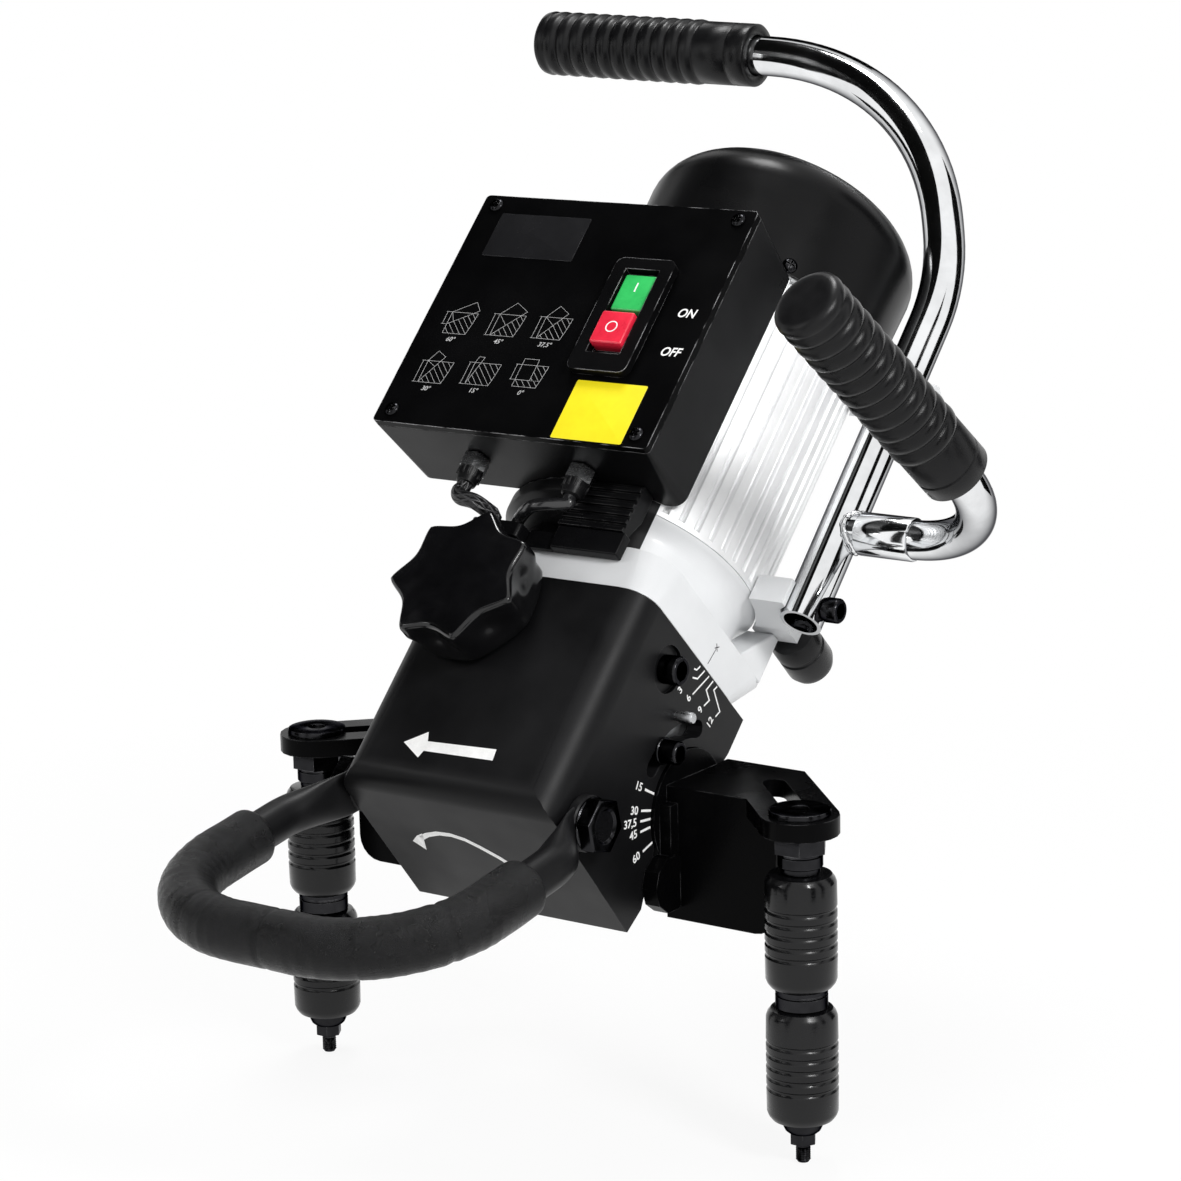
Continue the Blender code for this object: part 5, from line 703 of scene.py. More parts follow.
def shield_and_slab():
    """Slide casting: its slab with a raised rear corner, and the round shield that carries the motor."""
    slab = bmesh.new()
    slab.from_mesh(frame["nodes"]["slide_housing"].data)
    bmesh.ops.remove_doubles(slab, verts=slab.verts, dist=MERGE)
    slab.transform(MOTOR.inverted())
    slab = carved(slab, block(rounded_rectangle(-120, 120, -120, 120, 5), SLIDE_TOP + 0.3, FRAME_LOW + 20))
    bmesh.ops.dissolve_limit(slab, angle_limit=0.5 * DEG, verts=slab.verts, edges=slab.edges)
    sharp = [e for e in slab.edges if len(e.link_faces) == 2 and e.calc_face_angle(0) > 30 * DEG]
    bmesh.ops.bevel(slab, geom=sharp, offset=MM, offset_type="OFFSET", segments=2, profile=0.5, affect="EDGES",
                    clamp_overlap=True, material=-1)
    shield = turned([(40, SLIDE_TOP - 1), (67.6, SLIDE_TOP - 1), (67.9, SLIDE_TOP + 16), (69.6, SLIDE_TOP + 22),
                     (73.0, SLIDE_TOP + 25.4), (74.4, SLIDE_TOP + 26.8), (FRAME_RADIUS - 0.3, FRAME_LOW - 0.4),
                     (FRAME_RADIUS - 0.8, FRAME_LOW), (40, FRAME_LOW), (40, SLIDE_TOP - 1)], 128)
    corner = block([(31.0, SLIDE_TOP - 1), (60.0, SLIDE_TOP - 1), (60.0, FRAME_LOW - 0.4), (54.0, FRAME_LOW - 0.4)],
                   52.0, SIDE, 1.2)
    corner.transform(Matrix(((0, 0, 1, 0), (1, 0, 0, 0), (0, 1, 0, 0), (0, 0, 0, 1))))
    return merged(slab, shield, corner)


def shield_band():
    """Dark band over the front of the round shield under the box: painted shadow of the box on the pale casting."""
    inner = [(67.9, SLIDE_TOP + 0.4), (68.2, SLIDE_TOP + 16), (69.9, SLIDE_TOP + 21.8), (73.2, SLIDE_TOP + 25.1),
             (74.7, SLIDE_TOP + 26.6), (75.3, FRAME_LOW - 0.4), (75.3, BOX_LOW - 0.7)]
    profile = inner + [(radius + 0.9, height) for radius, height in reversed(inner)]
    rings = []
    for number in range(49):
        angle = (SHADOW_BAND_START + (SHADOW_BAND_END - SHADOW_BAND_START) * number / 48) * DEG
        rings.append([Vector((radius * math.cos(angle), radius * math.sin(angle), height)) * MM
                      for radius, height in profile])
    return bridged(rings)


def finned_frame():
    """Motor frame: hollow, with close fins above a plain collar."""
    fin = ((-2.55, 74.3), (-2.2, FRAME_RADIUS - 0.1), (0.0, FRAME_RADIUS), (2.2, FRAME_RADIUS - 0.1), (2.55, 74.3),
           (3.0, 72.2), (3.75, 71.6), (4.5, 72.2))

    def ring(level, grooved=True, inner=False):
        points = []
        for number in range(FINS):
            for turn, radius in fin:
                angle = (number * 360 / FINS + turn) * DEG
                reach = 62.0 if inner else (radius if grooved else FRAME_RADIUS)
                points.append(Vector((reach * math.cos(angle), reach * math.sin(angle), level)) * MM)
        return points

    low, top = FRAME_LOW + 0.1, COWL_FOOT - 0.3
    return bridged([ring(low, False), ring(low + 3.0, False), ring(low + 5.0), ring(top), ring(top, inner=True),
                    ring(low, inner=True)], closed=True)


piece("slide_housing_finished", shield_and_slab(), casting, "slide_housing", place=MOTOR, crease=38, even=True)
# Dark band where the box's shadow falls on the shield: painted shadow.
piece("shield_band", shield_band(), plastic, place=MOTOR, body="motor_unit")
# Dark strips beside the terminal cover, darkening the zone under the box: painted shade.
shade_strips = merged(block(rounded_rectangle(2.2, 46.0, 82.5, 96.5, 1.0), 69.9, 76.0, 0.8),
               block(rounded_rectangle(-16.6, 2.6, 82.5, 93.0, 1.0), 69.9, 73.0, 0.8))
piece("cover_shade_strips", shade_strips, plastic, place=MOTOR @ FACING, body="motor_unit")
piece("motor_frame_finished", finned_frame(), aluminium, "motor_frame", place=MOTOR, crease=25)


def refinish(node, material):
    """New material on a node that keeps its own shape."""
    mesh = frame["nodes"][node].data
    mesh.materials.clear()
    mesh.materials.append(material)


for node, material, ease in (
        ("guide_casting", guide_paint, 0.9), ("clamp_plate_left", ground_steel, 0.4),
        ("clamp_plate_right", ground_steel, 0.4), ("angle_housing", paint, 1.2), ("feed_screw", zinc, 0.3),
        ("switch_box", plastic, 0.9),
        ("box_lid", lid_paint, 0.6), ("switch_body", guard_plastic, 0.7), ("terminal_cover", plastic, 0.4),
        ("lead_clamp", plastic, 0.8), ("lower_tube_bracket", casting, 1.6), ("upper_tube_bracket", casting, 0.8),
        ("cutter_head", ground_steel, 0.4), ("cutter_insert_1", carbide, 0.25), ("cutter_insert_2", carbide, 0.25),
        ("cutter_insert_3", carbide, 0.25), ("cutter_bolt", dark_steel, 0.3), ("motor_shaft", ground_steel, 0.4)):
    eased_copy(node, material, ease)

for node, material in (("stator", copper), ("rotor", ground_steel), ("front_bearing", ground_steel),
                       ("rear_bearing", ground_steel), ("run_capacitor", aluminium), ("cooling_fan", plastic),
                       ("rear_shield", casting)):
    refinish(node, material)


# Roller stacks

def threaded(radius, low, high):
    """Profile points of a screw thread, from low to high."""
    points = []
    for number in range(int((high - low) / THREAD_PITCH)):
        level = low + number * THREAD_PITCH
        points += [(radius - 0.5, level), (radius, level + THREAD_PITCH / 2)]
    return points


def roller_stud():
    head_top = ARM_TOP + 3.0
    head = turned([(4.6, head_top - 2.0), (4.9, head_top - 0.2), (5.4, head_top), (14.8, head_top),
                   (16.1, head_top - 0.4), (16.5, head_top - 1.4), (16.5, ARM_TOP), (0, ARM_TOP),
                   (0, head_top - 2.0), (4.6, head_top - 2.0)])
    shaft = turned([(0, STUD_END), (THREAD - 1.0, STUD_END)] + threaded(THREAD, STUD_END + 0.8, END_NUT[0])
                   + [(THREAD, END_NUT[0]), (THREAD, END_WASHER[1]), (AXLE, END_WASHER[1]), (AXLE, STUD_WASHER[0]),
                      (10.1, STUD_WASHER[0]), (10.5, STUD_WASHER[0] + 0.5), (10.5, STUD_WASHER[1]),
                      (11.4, STUD_WASHER[1]), (12.0, STUD_WASHER[1] + 0.6), (12.0, STUD_COLLAR[1] - 2.2),
                      (11.2, STUD_COLLAR[1] - 1.8), (11.2, STUD_COLLAR[1] - 1.0), (12.0, STUD_COLLAR[1] - 0.6),
                      (12.0, STUD_COLLAR[1]), (6.0, STUD_COLLAR[1]), (6.0, ARM_TOP), (0, ARM_TOP)])
    return merged(head, shaft, hexagon(26.0, *STUD_NUT, 1.0))


def spacer():
    return turned([(AXLE + 0.3, SPACER[0]), (13.4, SPACER[0]), (14.0, SPACER[0] + 0.6), (14.0, SPACER[1] - 4.2),
                   (13.2, SPACER[1] - 3.8), (13.2, SPACER[1] - 3.0), (14.0, SPACER[1] - 2.6),
                   (14.0, SPACER[1] - 0.6), (13.4, SPACER[1]), (AXLE + 0.3, SPACER[1]), (AXLE + 0.3, SPACER[0])])


def end_nut():
    washer = turned([(THREAD + 0.3, END_WASHER[0]), (8.0, END_WASHER[0]), (9.6, END_WASHER[0] + 1.4),
                     (10.5, END_WASHER[0] + 3.4), (10.5, END_WASHER[1] - 0.5), (10.0, END_WASHER[1]),
                     (THREAD + 0.3, END_WASHER[1]), (THREAD + 0.3, END_WASHER[0])])
    nut = hexagon(13.0, 0, END_NUT[1] - END_NUT[0], 0.6)
    nut.transform(Matrix.Translation((0, 0, END_NUT[1] * MM)) @ Matrix.Rotation(math.pi, 4, "X"))
    return merged(washer, nut)


def roller():
    """Barrel roller with rounded shoulders and five shallow grooves."""
    shoulder = [(ROLLER_END, 0.0), (ROLLER_END + 2.6, 0.5), (ROLLER_RADIUS - 1.0, 2.6), (ROLLER_RADIUS - 0.2, 4.8)]
    middle = []
    for number in range(5):
        level = ROLLER_HEIGHT / 2 + (number - 2) * 6.2
        middle += [(ROLLER_RADIUS, level - 1.5), (ROLLER_RADIUS - 0.7, level - 0.7), (ROLLER_RADIUS - 0.9, level),
                   (ROLLER_RADIUS - 0.7, level + 0.7), (ROLLER_RADIUS, level + 1.5)]
    far = [(radius, ROLLER_HEIGHT - level) for radius, level in reversed(shoulder)]
    bore = AXLE + 0.3
    return turned([(bore, 0.0)] + shoulder + middle + far + [(bore, ROLLER_HEIGHT), (bore, 0.0)])


to_stud = PIVOT @ Matrix.Translation((STUD_X * MM, STUD_Y * MM, 0))
on_both_sides("roller_stud", roller_stud, dark_steel, to_stud)
on_both_sides("roller_spacer", spacer, dark_steel, to_stud)
on_both_sides("roller_end_nut", end_nut, dark_steel, to_stud)
for side, flip in (("left", -1), ("right", 1)):
    for level, top in ROLLER_TOPS.items():
        spot = Matrix.Translation((flip * STUD_X * MM, STUD_Y * MM, (top - ROLLER_HEIGHT) * MM))
        piece("roller_" + side + "_" + level + "_finished", roller(), roller_plastic,
              "roller_" + side + "_" + level, place=PIVOT @ spot)

# Screws on the housing's sides, pointing outwards along X
OUTWARD = Matrix.Rotation(90 * DEG, 4, "Y")


def at_side(axes, x, forward, up):
    return axes @ Matrix.Translation((x * MM, -forward * MM, up * MM)) @ OUTWARD


def clamp_screw():
    shank = turned([(0, -19.7), (4.0, -19.7), (4.0, 0), (0, 0)], 32)
    return merged(shank, socket_head(6.5, 10.0, 3.4, 5.0, 26, 7.5, 1.6))


def lock_screw():
    return merged(turned([(0, -7.2), (5.0, -7.2), (5.0, 0), (0, 0)], 32), socket_head(8.0, 11.0, 4.4, 5.0, 30))


def handle_bolt():
    """Hexagon head with a dished face and a washer, its seat at height zero."""
    head = hexagon(27.0, 1.55, 9.6, 1.2)
    dish = turned([(0, 8.4), (8.2, 8.6), (9.8, 9.9), (0, 9.9)], 48)
    washer = turned(eased(0, 1.6, 14.6, 0.5))
    shank = turned([(0, -16.0), (6.0, -16.0), (6.0, 0), (0, 0)], 32)
    return merged(shank, washer, carved(head, dish))


def tube_screw():
    return merged(turned([(0, -32.0), (4.0, -32.0), (4.0, 0), (0, 0)], 32), socket_head(7.0, 9.0, 3.4, 5.0, 26))


clamp_spot = at_side(PIVOT, SIDE + 0.3, -CLAMP[0] * math.cos(CLAMP[1]), CLAMP[0] * math.sin(CLAMP[1]))
on_both_sides("angle_clamp_screw", clamp_screw, dark_steel, clamp_spot)
on_both_sides("slide_lock_screw", lock_screw, dark_steel, at_side(HEAD, SIDE - 2.2, *LOCK))
on_both_sides("handle_bolt", handle_bolt, dark_steel, at_side(HEAD, SIDE + 6.6, *BOLT))
piece("tube_screw_finished", tube_screw(), dark_steel, "tube_screw", place=at_side(MOTOR, 115.1, -25.0, 123.5))


# Bright stop pins beside the arc slots
def stop_pin():
    return turned([(0, 0), (2.6, 0), (2.6, 2.4), (3.3, 2.8), (3.3, 10.2), (2.6, 11.2), (0, 11.4)], 32)


for side, flip in (("right", Matrix.Identity(4)), ("left", MIRROR)):
    piece("stop_pin_" + side, stop_pin(), zinc, place=flip @ at_side(HEAD, SIDE - 0.2, *STOP_PIN), body="head")

# Star knob

def knob_ring(tip, depth, level):
    """Ring with wide scallops between narrow lobes."""
    points = []
    count = KNOB_LOBES * 20
    for number in range(count):
        away = abs(math.sin(KNOB_LOBES * math.pi * number / count))
        radius = tip - depth * away * away / (away + 0.10) * 1.10
        angle = KNOB_LOBE_TURN + math.tau * number / count
        points.append(Vector((radius * math.cos(angle), radius * math.sin(angle), level)) * MM)
    return points


knob_rings = [knob_ring(22.0, 0.5, KNOB_LOW + 0.4), knob_ring(KNOB_BASE_RADIUS - 2.4, 1.2, KNOB_LOW),
              knob_ring(KNOB_BASE_RADIUS - 0.7, 1.6, KNOB_LOW + 0.8), knob_ring(KNOB_BASE_RADIUS, 2.0, KNOB_LOW + 2.4),
              knob_ring(KNOB_BASE_RADIUS, 2.6, KNOB_LOW + 5.5)]
for number in range(9):
    share = number / 8
    ease = share * share * (3 - 2 * share)
    knob_rings.append(knob_ring(KNOB_BASE_RADIUS + (KNOB_RADIUS - KNOB_BASE_RADIUS) * ease, 2.9 + (KNOB_LOBE - 2.9) * ease,
                                KNOB_LOW + 8.0 + 11.0 * share))
knob_rings.append(knob_ring(KNOB_RADIUS, KNOB_LOBE, KNOB_TOP - 3.2))
for number in range(1, 7):
    angle = number * 15 * DEG
    knob_rings.append(knob_ring(KNOB_RADIUS - 3.0 * (1 - math.cos(angle)), KNOB_LOBE,
                                KNOB_TOP - 3.0 + 3.0 * math.sin(angle)))
for number in range(1, 9):
    share = number / 9
    knob_rings.append(knob_ring((KNOB_RADIUS - 3.0) * (1 - share), KNOB_LOBE * (1 - share) ** 1.6,
                                KNOB_TOP + KNOB_DOME * math.sin(share * math.pi / 2)))
knob = merged(bridged(knob_rings), turned(eased(0, KNOB_LOW + 1.0, 15.0, 0.5), 48))
piece("star_knob_finished", knob, knob_plastic, "star_knob", place=KNOB, crease=60)

# Front handle: flattened tube with eyes, and the foam grip
UP = Vector((0, 0, 1))
BACK = Vector((0, 1, 0))
EYE_X = EYE_INNER + EYE_THICKNESS / 2
loop_corners = [(EYE_X, 0, 0), (EYE_X, -14, 0), (LOOP_HALF, -48, 0), (LOOP_HALF, -LOOP_REACH, 0),
                (-LOOP_HALF, -LOOP_REACH, 0), (-LOOP_HALF, -48, 0), (-EYE_X, -14, 0), (-EYE_X, 0, 0)]
loop_path = filleted(loop_corners, [30.0, 40.0, LOOP_CORNER, LOOP_CORNER, 40.0, 30.0])
loop_length = length_of(loop_path)
loop_points = evenly(loop_path, 0, loop_length, 3.0)


def loop_size(distance):
    """Tube flattened towards its eye."""
    share = min(max((distance - 14.0) / 34.0, 0.0), 1.0)
    share = share * share * (3 - 2 * share)
    return (2.7 + (LOOP_TUBE - 2.7) * share, 12.6 + (LOOP_TUBE - 12.6) * share)


loop_sizes = [loop_size(min(n, len(loop_points) - 1 - n) * loop_length / (len(loop_points) - 1))
              for n in range(len(loop_points))]
eye = turned(eased(0, EYE_THICKNESS, EYE_RADIUS, 0.8), 48)
eye.transform(Matrix.Translation((EYE_INNER * MM, 0, 0)) @ OUTWARD)
far_eye = eye.copy()
far_eye.transform(MIRROR)
bmesh.ops.reverse_faces(far_eye, faces=far_eye.faces)
piece("front_handle_tube_finished", merged(bridged(rings_along(loop_points, loop_sizes, 32, UP)), eye, far_eye),
      paint, "front_handle_tube", place=HANDLE)

grip_points = evenly(loop_path, LOOP_GRIP_START, loop_length - LOOP_GRIP_START, 1.5)


def grip_swell(index):
    """Foam radius: rounded lips, and soft folds where the tube bends."""
    count = len(grip_points) - 1
    from_end = min(index, count - index) * 1.5
    lip = 3.0 * (1 - min(from_end / 4.0, 1.0)) ** 2
    before, after = grip_points[max(index - 2, 0)], grip_points[min(index + 2, count)]
    here = grip_points[index]
    bend = (here - before).angle(after - here, 0.0) if 2 < index < count - 2 else 0.0
    fold = 0.22 * min(bend / 0.04, 1.0) * abs(math.sin(index * 1.5 * 0.42 + 2 * noise.noise(here * 0.03)))
    from_middle = (index - count / 2) * 1.5
    crease = sum(0.7 * math.exp(-((from_middle - station) / 1.4) ** 2) for station in GRIP_CREASES)
    return LOOP_GRIP - lip - fold - crease + 0.25 * noise.noise(here * 0.06)


grip_sizes = [(grip_swell(n), grip_swell(n)) for n in range(len(grip_points))]
grip_rings = rings_along(grip_points, grip_sizes, 40, UP)
piece("front_handle_grip_finished", bridged(grip_rings), foam, "front_handle_grip", place=HANDLE, crease=60)


# Fan cowl with its grille and screws

def cowl_line(inset):
    dome = [(COWL_TOP_RADIUS + (COWL_RADIUS - COWL_TOP_RADIUS) * math.cos(n * 7.5 * DEG),
             COWL_MID + COWL_DOME * math.sin(n * 7.5 * DEG)) for n in range(13)]
    line = [(COWL_FOOT_RADIUS, COWL_FOOT), (COWL_FOOT_RADIUS + 0.2, COWL_FOOT + 8.0)] + dome + [(20.0, COWL_MID + 30)]
    return [(radius - inset, height - (inset if height > COWL_MID + 20 else 0)) for radius, height in line]


cowl = turned(cowl_line(0.0) + [(0, COWL_MID + COWL_DOME), (0, COWL_MID + COWL_DOME - 2.4)]
              + cowl_line(2.4)[::-1] + cowl_line(0.0)[:1], 96)
slots = []
for number in range(8):
    slot = block(rounded_rectangle(16, 40, -2.5, 2.5, 2.4, 4), COWL_MID + 20, COWL_MID + 40)
    slot.transform(Matrix.Rotation(number * 45 * DEG, 4, "Z"))
    slots.append(slot)
cowl_screws = []
for number in range(4):
    head = cross_head(4.4, 2.8)
    head.transform(Matrix.Rotation(-90 * DEG + COWL_SCREW_ANGLE + number * 90 * DEG, 4, "Z")
                   @ Matrix.Translation(((COWL_FOOT_RADIUS - 0.2) * MM, 0, COWL_SCREW_UP * MM)) @ OUTWARD)
    cowl_screws.append(head)
piece("fan_cowl_finished", carved(cowl, merged(*slots)), cowl_paint, "fan_cowl", place=MOTOR)
piece("cowl_screws", merged(*cowl_screws), dark_steel, place=MOTOR, body="motor_unit")

# Faces that carry print: matrices whose X and Y lie in the face
LID_FACE = MOTOR @ Matrix.Translation((0, -(LID_FORWARD + 0.02) * MM, 0)) @ FACING
FRONT_FACE = HEAD @ Matrix.Translation((0, -114.52 * MM, 0)) @ FACING
DEPTH_FACE = HEAD @ Matrix.Translation(((SIDE + 0.02) * MM, 0, 0)) @ Matrix(
    ((0, 0, 1, 0), (0, -1, 0, 0), (1, 0, 0, 0), (0, 0, 0, 1)))
SLOPE = math.atan2(11.0, 111.5)
HEEL_FACE = HEAD @ Matrix.Translation((0, 0, -79.32 * MM)) @ Matrix(
    ((1, 0, 0, 0), (0, -math.cos(SLOPE), -math.sin(SLOPE), 0), (0, math.sin(SLOPE), -math.cos(SLOPE), 0), (0, 0, 0, 1)))

# Lid screws
heads = [set_at(cross_head(4.4, 2.4), x, up, 0) for x, up in LID_SCREWS]
piece("lid_screw_heads", merged(*heads), dark_steel, place=LID_FACE, body="motor_unit")


# Buttons

def push_button(half_wide, half_long, proud):
    return block(rounded_rectangle(-half_wide, half_wide, -half_long, half_long, 1.2, 3), -BUTTON_SEAT, proud, 1.1)


for name, (x, up, half_wide, half_long, proud), colour in (("on_button", ON_BUTTON, green),
                                                          ("off_button", OFF_BUTTON, red)):
    piece(name + "_finished", set_at(push_button(half_wide, half_long, proud), x, up), colour, name,
          place=MOTOR @ Matrix.Translation((0, -LID_FORWARD * MM, 0)) @ FACING)


# Print

def ribbon(points, width):
    """Flat line of even width through points, as one thin solid."""
    half = width / 2
    left, right = [], []
    flat = [Vector(point) for point in points]
    for index, here in enumerate(flat):
        back = (here - flat[index - 1]).normalized() if index else (flat[1] - here).normalized()
        ahead = (flat[index + 1] - here).normalized() if index < len(flat) - 1 else back
        side = Vector((-(back + ahead).y, (back + ahead).x)).normalized()
        reach = half / max(side.dot(Vector((-back.y, back.x))), 0.5)
        left.append(here + side * reach)
        right.append(here - side * reach)
    return block([tuple(p) for p in right + left[::-1]], 0, PRINT_THICKNESS)


def lettering(text, size, x=0.0, y=0.0, bold=0.0, slant=0.0, stretch=1.0, turn=0.0):
    """Plain figures or words, centred at a point of the face."""
    curve = bpy.data.curves.new("lettering", "FONT")
    curve.body, curve.size, curve.extrude = text, size, PRINT_THICKNESS / 2
    curve.offset, curve.shear, curve.resolution_u = bold, slant, 4
    curve.align_x, curve.align_y = "CENTER", "CENTER"
    item = bpy.data.objects.new("lettering", curve)
    bpy.context.scene.collection.objects.link(item)
    mesh = bpy.data.meshes.new_from_object(item.evaluated_get(bpy.context.evaluated_depsgraph_get()))
    bpy.data.objects.remove(item)
    bpy.data.curves.remove(curve)
    bm = bmesh.new()
    bm.from_mesh(mesh)
    bpy.data.meshes.remove(mesh)
    bmesh.ops.remove_doubles(bm, verts=bm.verts, dist=MERGE / MM)
    bm.transform(Matrix.Scale(MM, 4) @ Matrix.Translation((x, y, PRINT_THICKNESS / 2))
                 @ Matrix.Rotation(turn, 4, "Z") @ Matrix.Diagonal((stretch, 1, 1, 1)))
    return bm


def outline_mark(points):
    return block(points, 0, PRINT_THICKNESS)


# Straight arrow on the front and curved arrow on the heel
arrow = outline_mark([(-34.0, -44.3), (-20.7, -51.8), (-19.2, -47.4), (25.6, -46.3), (24.9, -39.6),
                      (-19.4, -41.5), (-21.6, -36.0)])
piece("front_arrow", arrow, white_print, place=FRONT_FACE, body="head")
rise = 1 / math.cos(SLOPE)
sweep = [(-41.5, 55.5), (-37.5, 61.8), (-31.5, 66.0), (-22.5, 69.6), (-13.5, 70.4), (-5.0, 68.3), (2.5, 63.5), (12.0, 56.0),
         (20.0, 47.0)]
curved = []
for index, (x, forward) in enumerate(sweep):
    curved.append((x, forward * rise))
piece("heel_arrow", merged(ribbon(curved[1:], 3.4),
                           outline_mark([(-46.0, 57.0 * rise), (-40.2, 50.2 * rise), (-34.6, 66.5 * rise),
                                         (-40.0, 63.2 * rise)])),
      white_print, place=HEEL_FACE, body="head")

# Angle scale round the pivot and depth scale beside it, on the right side
INDEX_ANGLE = 43.0
SCALE_STARTS = 34.6
for_angle = []
for mark, figures in ((15, "15"), (30, "30"), (37.5, "37,5"), (45, "45"), (60, "60")):
    lean = (INDEX_ANGLE - mark) * DEG
    outwards = Matrix(((0, 0, 1, 0), (math.cos(lean), math.sin(lean), 0, 0), (-math.sin(lean), math.cos(lean), 0, 0),
                       (0, 0, 0, 1)))
    reach = 49.5 if len(figures) < 4 else 52.5
    tick = merged(ribbon([(-SCALE_STARTS - 9.5, 0), (-SCALE_STARTS, 0)], 1.3),
                  lettering(figures, 6.4, -reach - 1.0, 0, 0.1, stretch=1.1))
    tick.transform(outwards)
    for_angle.append(tick)
piece("angle_scale", merged(*for_angle), white_print,
      place=PIVOT @ Matrix.Translation(((SIDE + 0.02) * MM, 0, 0)), body="head")
depth_marks = [[(61.0, 46.9), (61.9, 44.3), (65.3, 42.8)], [(56.6, 44.9), (58.8, 40.3), (65.8, 37.4)],
               [(49.8, 38.5), (66.0, 31.6)], [(51.2, 24.6), (56.3, 22.2), (58.9, 28.7), (66.2, 26.3)],
               [(53.0, 10.6), (57.4, 8.9), (62.9, 22.3), (66.2, 20.8)]]
for_depth = [ribbon(points, 0.9) for points in depth_marks]
for figures, up, forward in (("3", 45.0, 50.5), ("6", 46.2, 40.4), ("9", 47.7, 26.2), ("12", 47.6, 13.2)):
    for_depth.append(lettering(figures, 6.4, up, forward, 0.1))
piece("depth_scale", merged(*for_depth), white_print, place=DEPTH_FACE, body="head")
index_line = merged(ribbon([(70.3, 37.4), (81.0, 36.0)], 0.35), ribbon([(80.4, 34.2), (83.4, 37.6)], 0.45),
                    ribbon([(83.4, 34.2), (80.4, 37.6)], 0.45))
piece("depth_index", index_line, dark_steel, place=DEPTH_FACE, body="motor_unit")


# Lid print: six bevel diagrams, ON and OFF, a bare plate and a bare yellow film

def hatch(outline, spacing, slope):
    """Slanted lines clipped to a convex outline."""
    direction = Vector((math.cos(slope), math.sin(slope)))
    across = Vector((-direction.y, direction.x))
    reach = [Vector(p).dot(across) for p in outline]
    lines = []
    level = min(reach) + spacing
    while level < max(reach) - spacing / 3:
        hits = []
        for a, b in zip(outline, outline[1:] + outline[:1]):
            a, b = Vector(a), Vector(b)
            before, after = a.dot(across) - level, b.dot(across) - level
            if before * after < 0:
                hits.append(a.lerp(b, before / (before - after)))
        if len(hits) == 2 and (hits[0] - hits[1]).length > 1.0:
            lines.append(hits)
        level += spacing
    return lines


def diagram(left, low, degrees, caption):
    """Section through a plate: the corner cut off, the hatched rest, measure lines, and the angle below."""
    bevel = degrees * DEG
    width, height, thin = 15.8, 14.6, 0.17
    if bevel:
        run = min(height * math.tan(bevel), height)
        start = height - run / math.tan(bevel)
        solid = [[(0, 0), (width, 0), (width + 1.4, height / 2), (width + 2.2, height), (run, height), (0, start)]]
    else:
        run, start = 9.8, 4.5
        solid = [[(0, 0), (width, 0), (width + 0.8, start), (0, start)],
                 [(run, start), (width + 0.8, start), (width + 2.2, height), (run, height)]]
    along = Vector((math.sin(bevel), math.cos(bevel)))
    corner, end = Vector((0, height)), Vector((run, height))
    lines = []
    for outline in solid:
        lines += [outline + outline[:1]] + hatch(outline, 2.9, 135 * DEG)
    lines.append([(0, start), corner, end])
    lines.append([corner, corner + along * max(4.0, degrees / 4 + 0.5), end + along * 4.0, end])
    if degrees >= 30:
        lines.append([corner, end + along * (corner - end).dot(along)])
    edge = -3.2
    lines += [[(edge, start), (edge, height)], [(edge - 0.8, start), (-0.6, start)], [(edge - 0.8, height), corner]]
    shift = Vector((left, low))
    shapes = [ribbon([tuple(Vector(point) + shift) for point in line], thin) for line in lines]
    shapes.append(lettering(caption, 4.2, left + 7.6, low - 4.0, 0.02, 0.2))
    return merged(*shapes)


diagrams = []
for left, low, angle in ((-103.9, 189.2, 60), (-71.4, 190.4, 45), (-40.0, 191.0, 37.5), (-103.6, 155.2, 30),
                         (-71.7, 156.8, 15), (-40.3, 158.3, 0)):
    caption = str(angle).replace(".", ",") + "°"
    diagrams.append(diagram(left, low, angle, caption))
piece("bevel_diagrams", merged(*diagrams), grey_print, place=LID_FACE, body="motor_unit")
words = merged(lettering("ON", 8.0, 48.2, 215.2, 0.12, 0.2, 0.9), lettering("OFF", 8.0, 49.6, 189.4, 0.12, 0.2, 0.9))
piece("switch_words", words, white_print, place=LID_FACE, body="motor_unit")
piece("bare_plate", block(rounded_rectangle(-104, -42, 244, 274, 1.0), 0, 0.35, 0.15), plate_film, place=LID_FACE,
      body="motor_unit")
piece("bare_yellow_film", block(rounded_rectangle(0.2, 46.2, 128.0, 166.4, 1.0), 0, 0.25, 0.1), yellow,
      place=LID_FACE, body="motor_unit")
on_mark = ribbon([(ON_BUTTON[0], ON_BUTTON[1] + 0.5), (ON_BUTTON[0], ON_BUTTON[1] + 6.5)], 0.9)
piece("on_mark", on_mark, white_print, body="on_button_body",
      place=LID_FACE @ Matrix.Translation((0, 0, ON_BUTTON[4] * MM)))
off_mark = set_at(turned([(3.0, 0), (3.7, 0), (3.7, PRINT_THICKNESS), (3.0, PRINT_THICKNESS), (3.0, 0)], 48),
                  OFF_BUTTON[0], OFF_BUTTON[1])
piece("off_mark", off_mark, white_print, body="off_button_body",
      place=LID_FACE @ Matrix.Translation((0, 0, OFF_BUTTON[4] * MM)))


# Glands and leads

def gland():
    """Ribbed cap nut below the box, its seat at height zero."""
    cap = turned([(0, -18.3), (4.6, -18.3), (5.6, -17.6), (6.3, -14.5), (6.9, -10.5), (7.0, -9.2), (0, -9.2)], 48)
    ribs = []
    for number in range(12):
        rib = block([(5.9, -0.45), (7.3, -0.45), (7.3, 0.45), (5.9, 0.45)], -14.2, -9.6)
        rib.transform(Matrix.Rotation(number * 30 * DEG, 4, "Z"))
        ribs.append(rib)
    return merged(cap, *ribs)


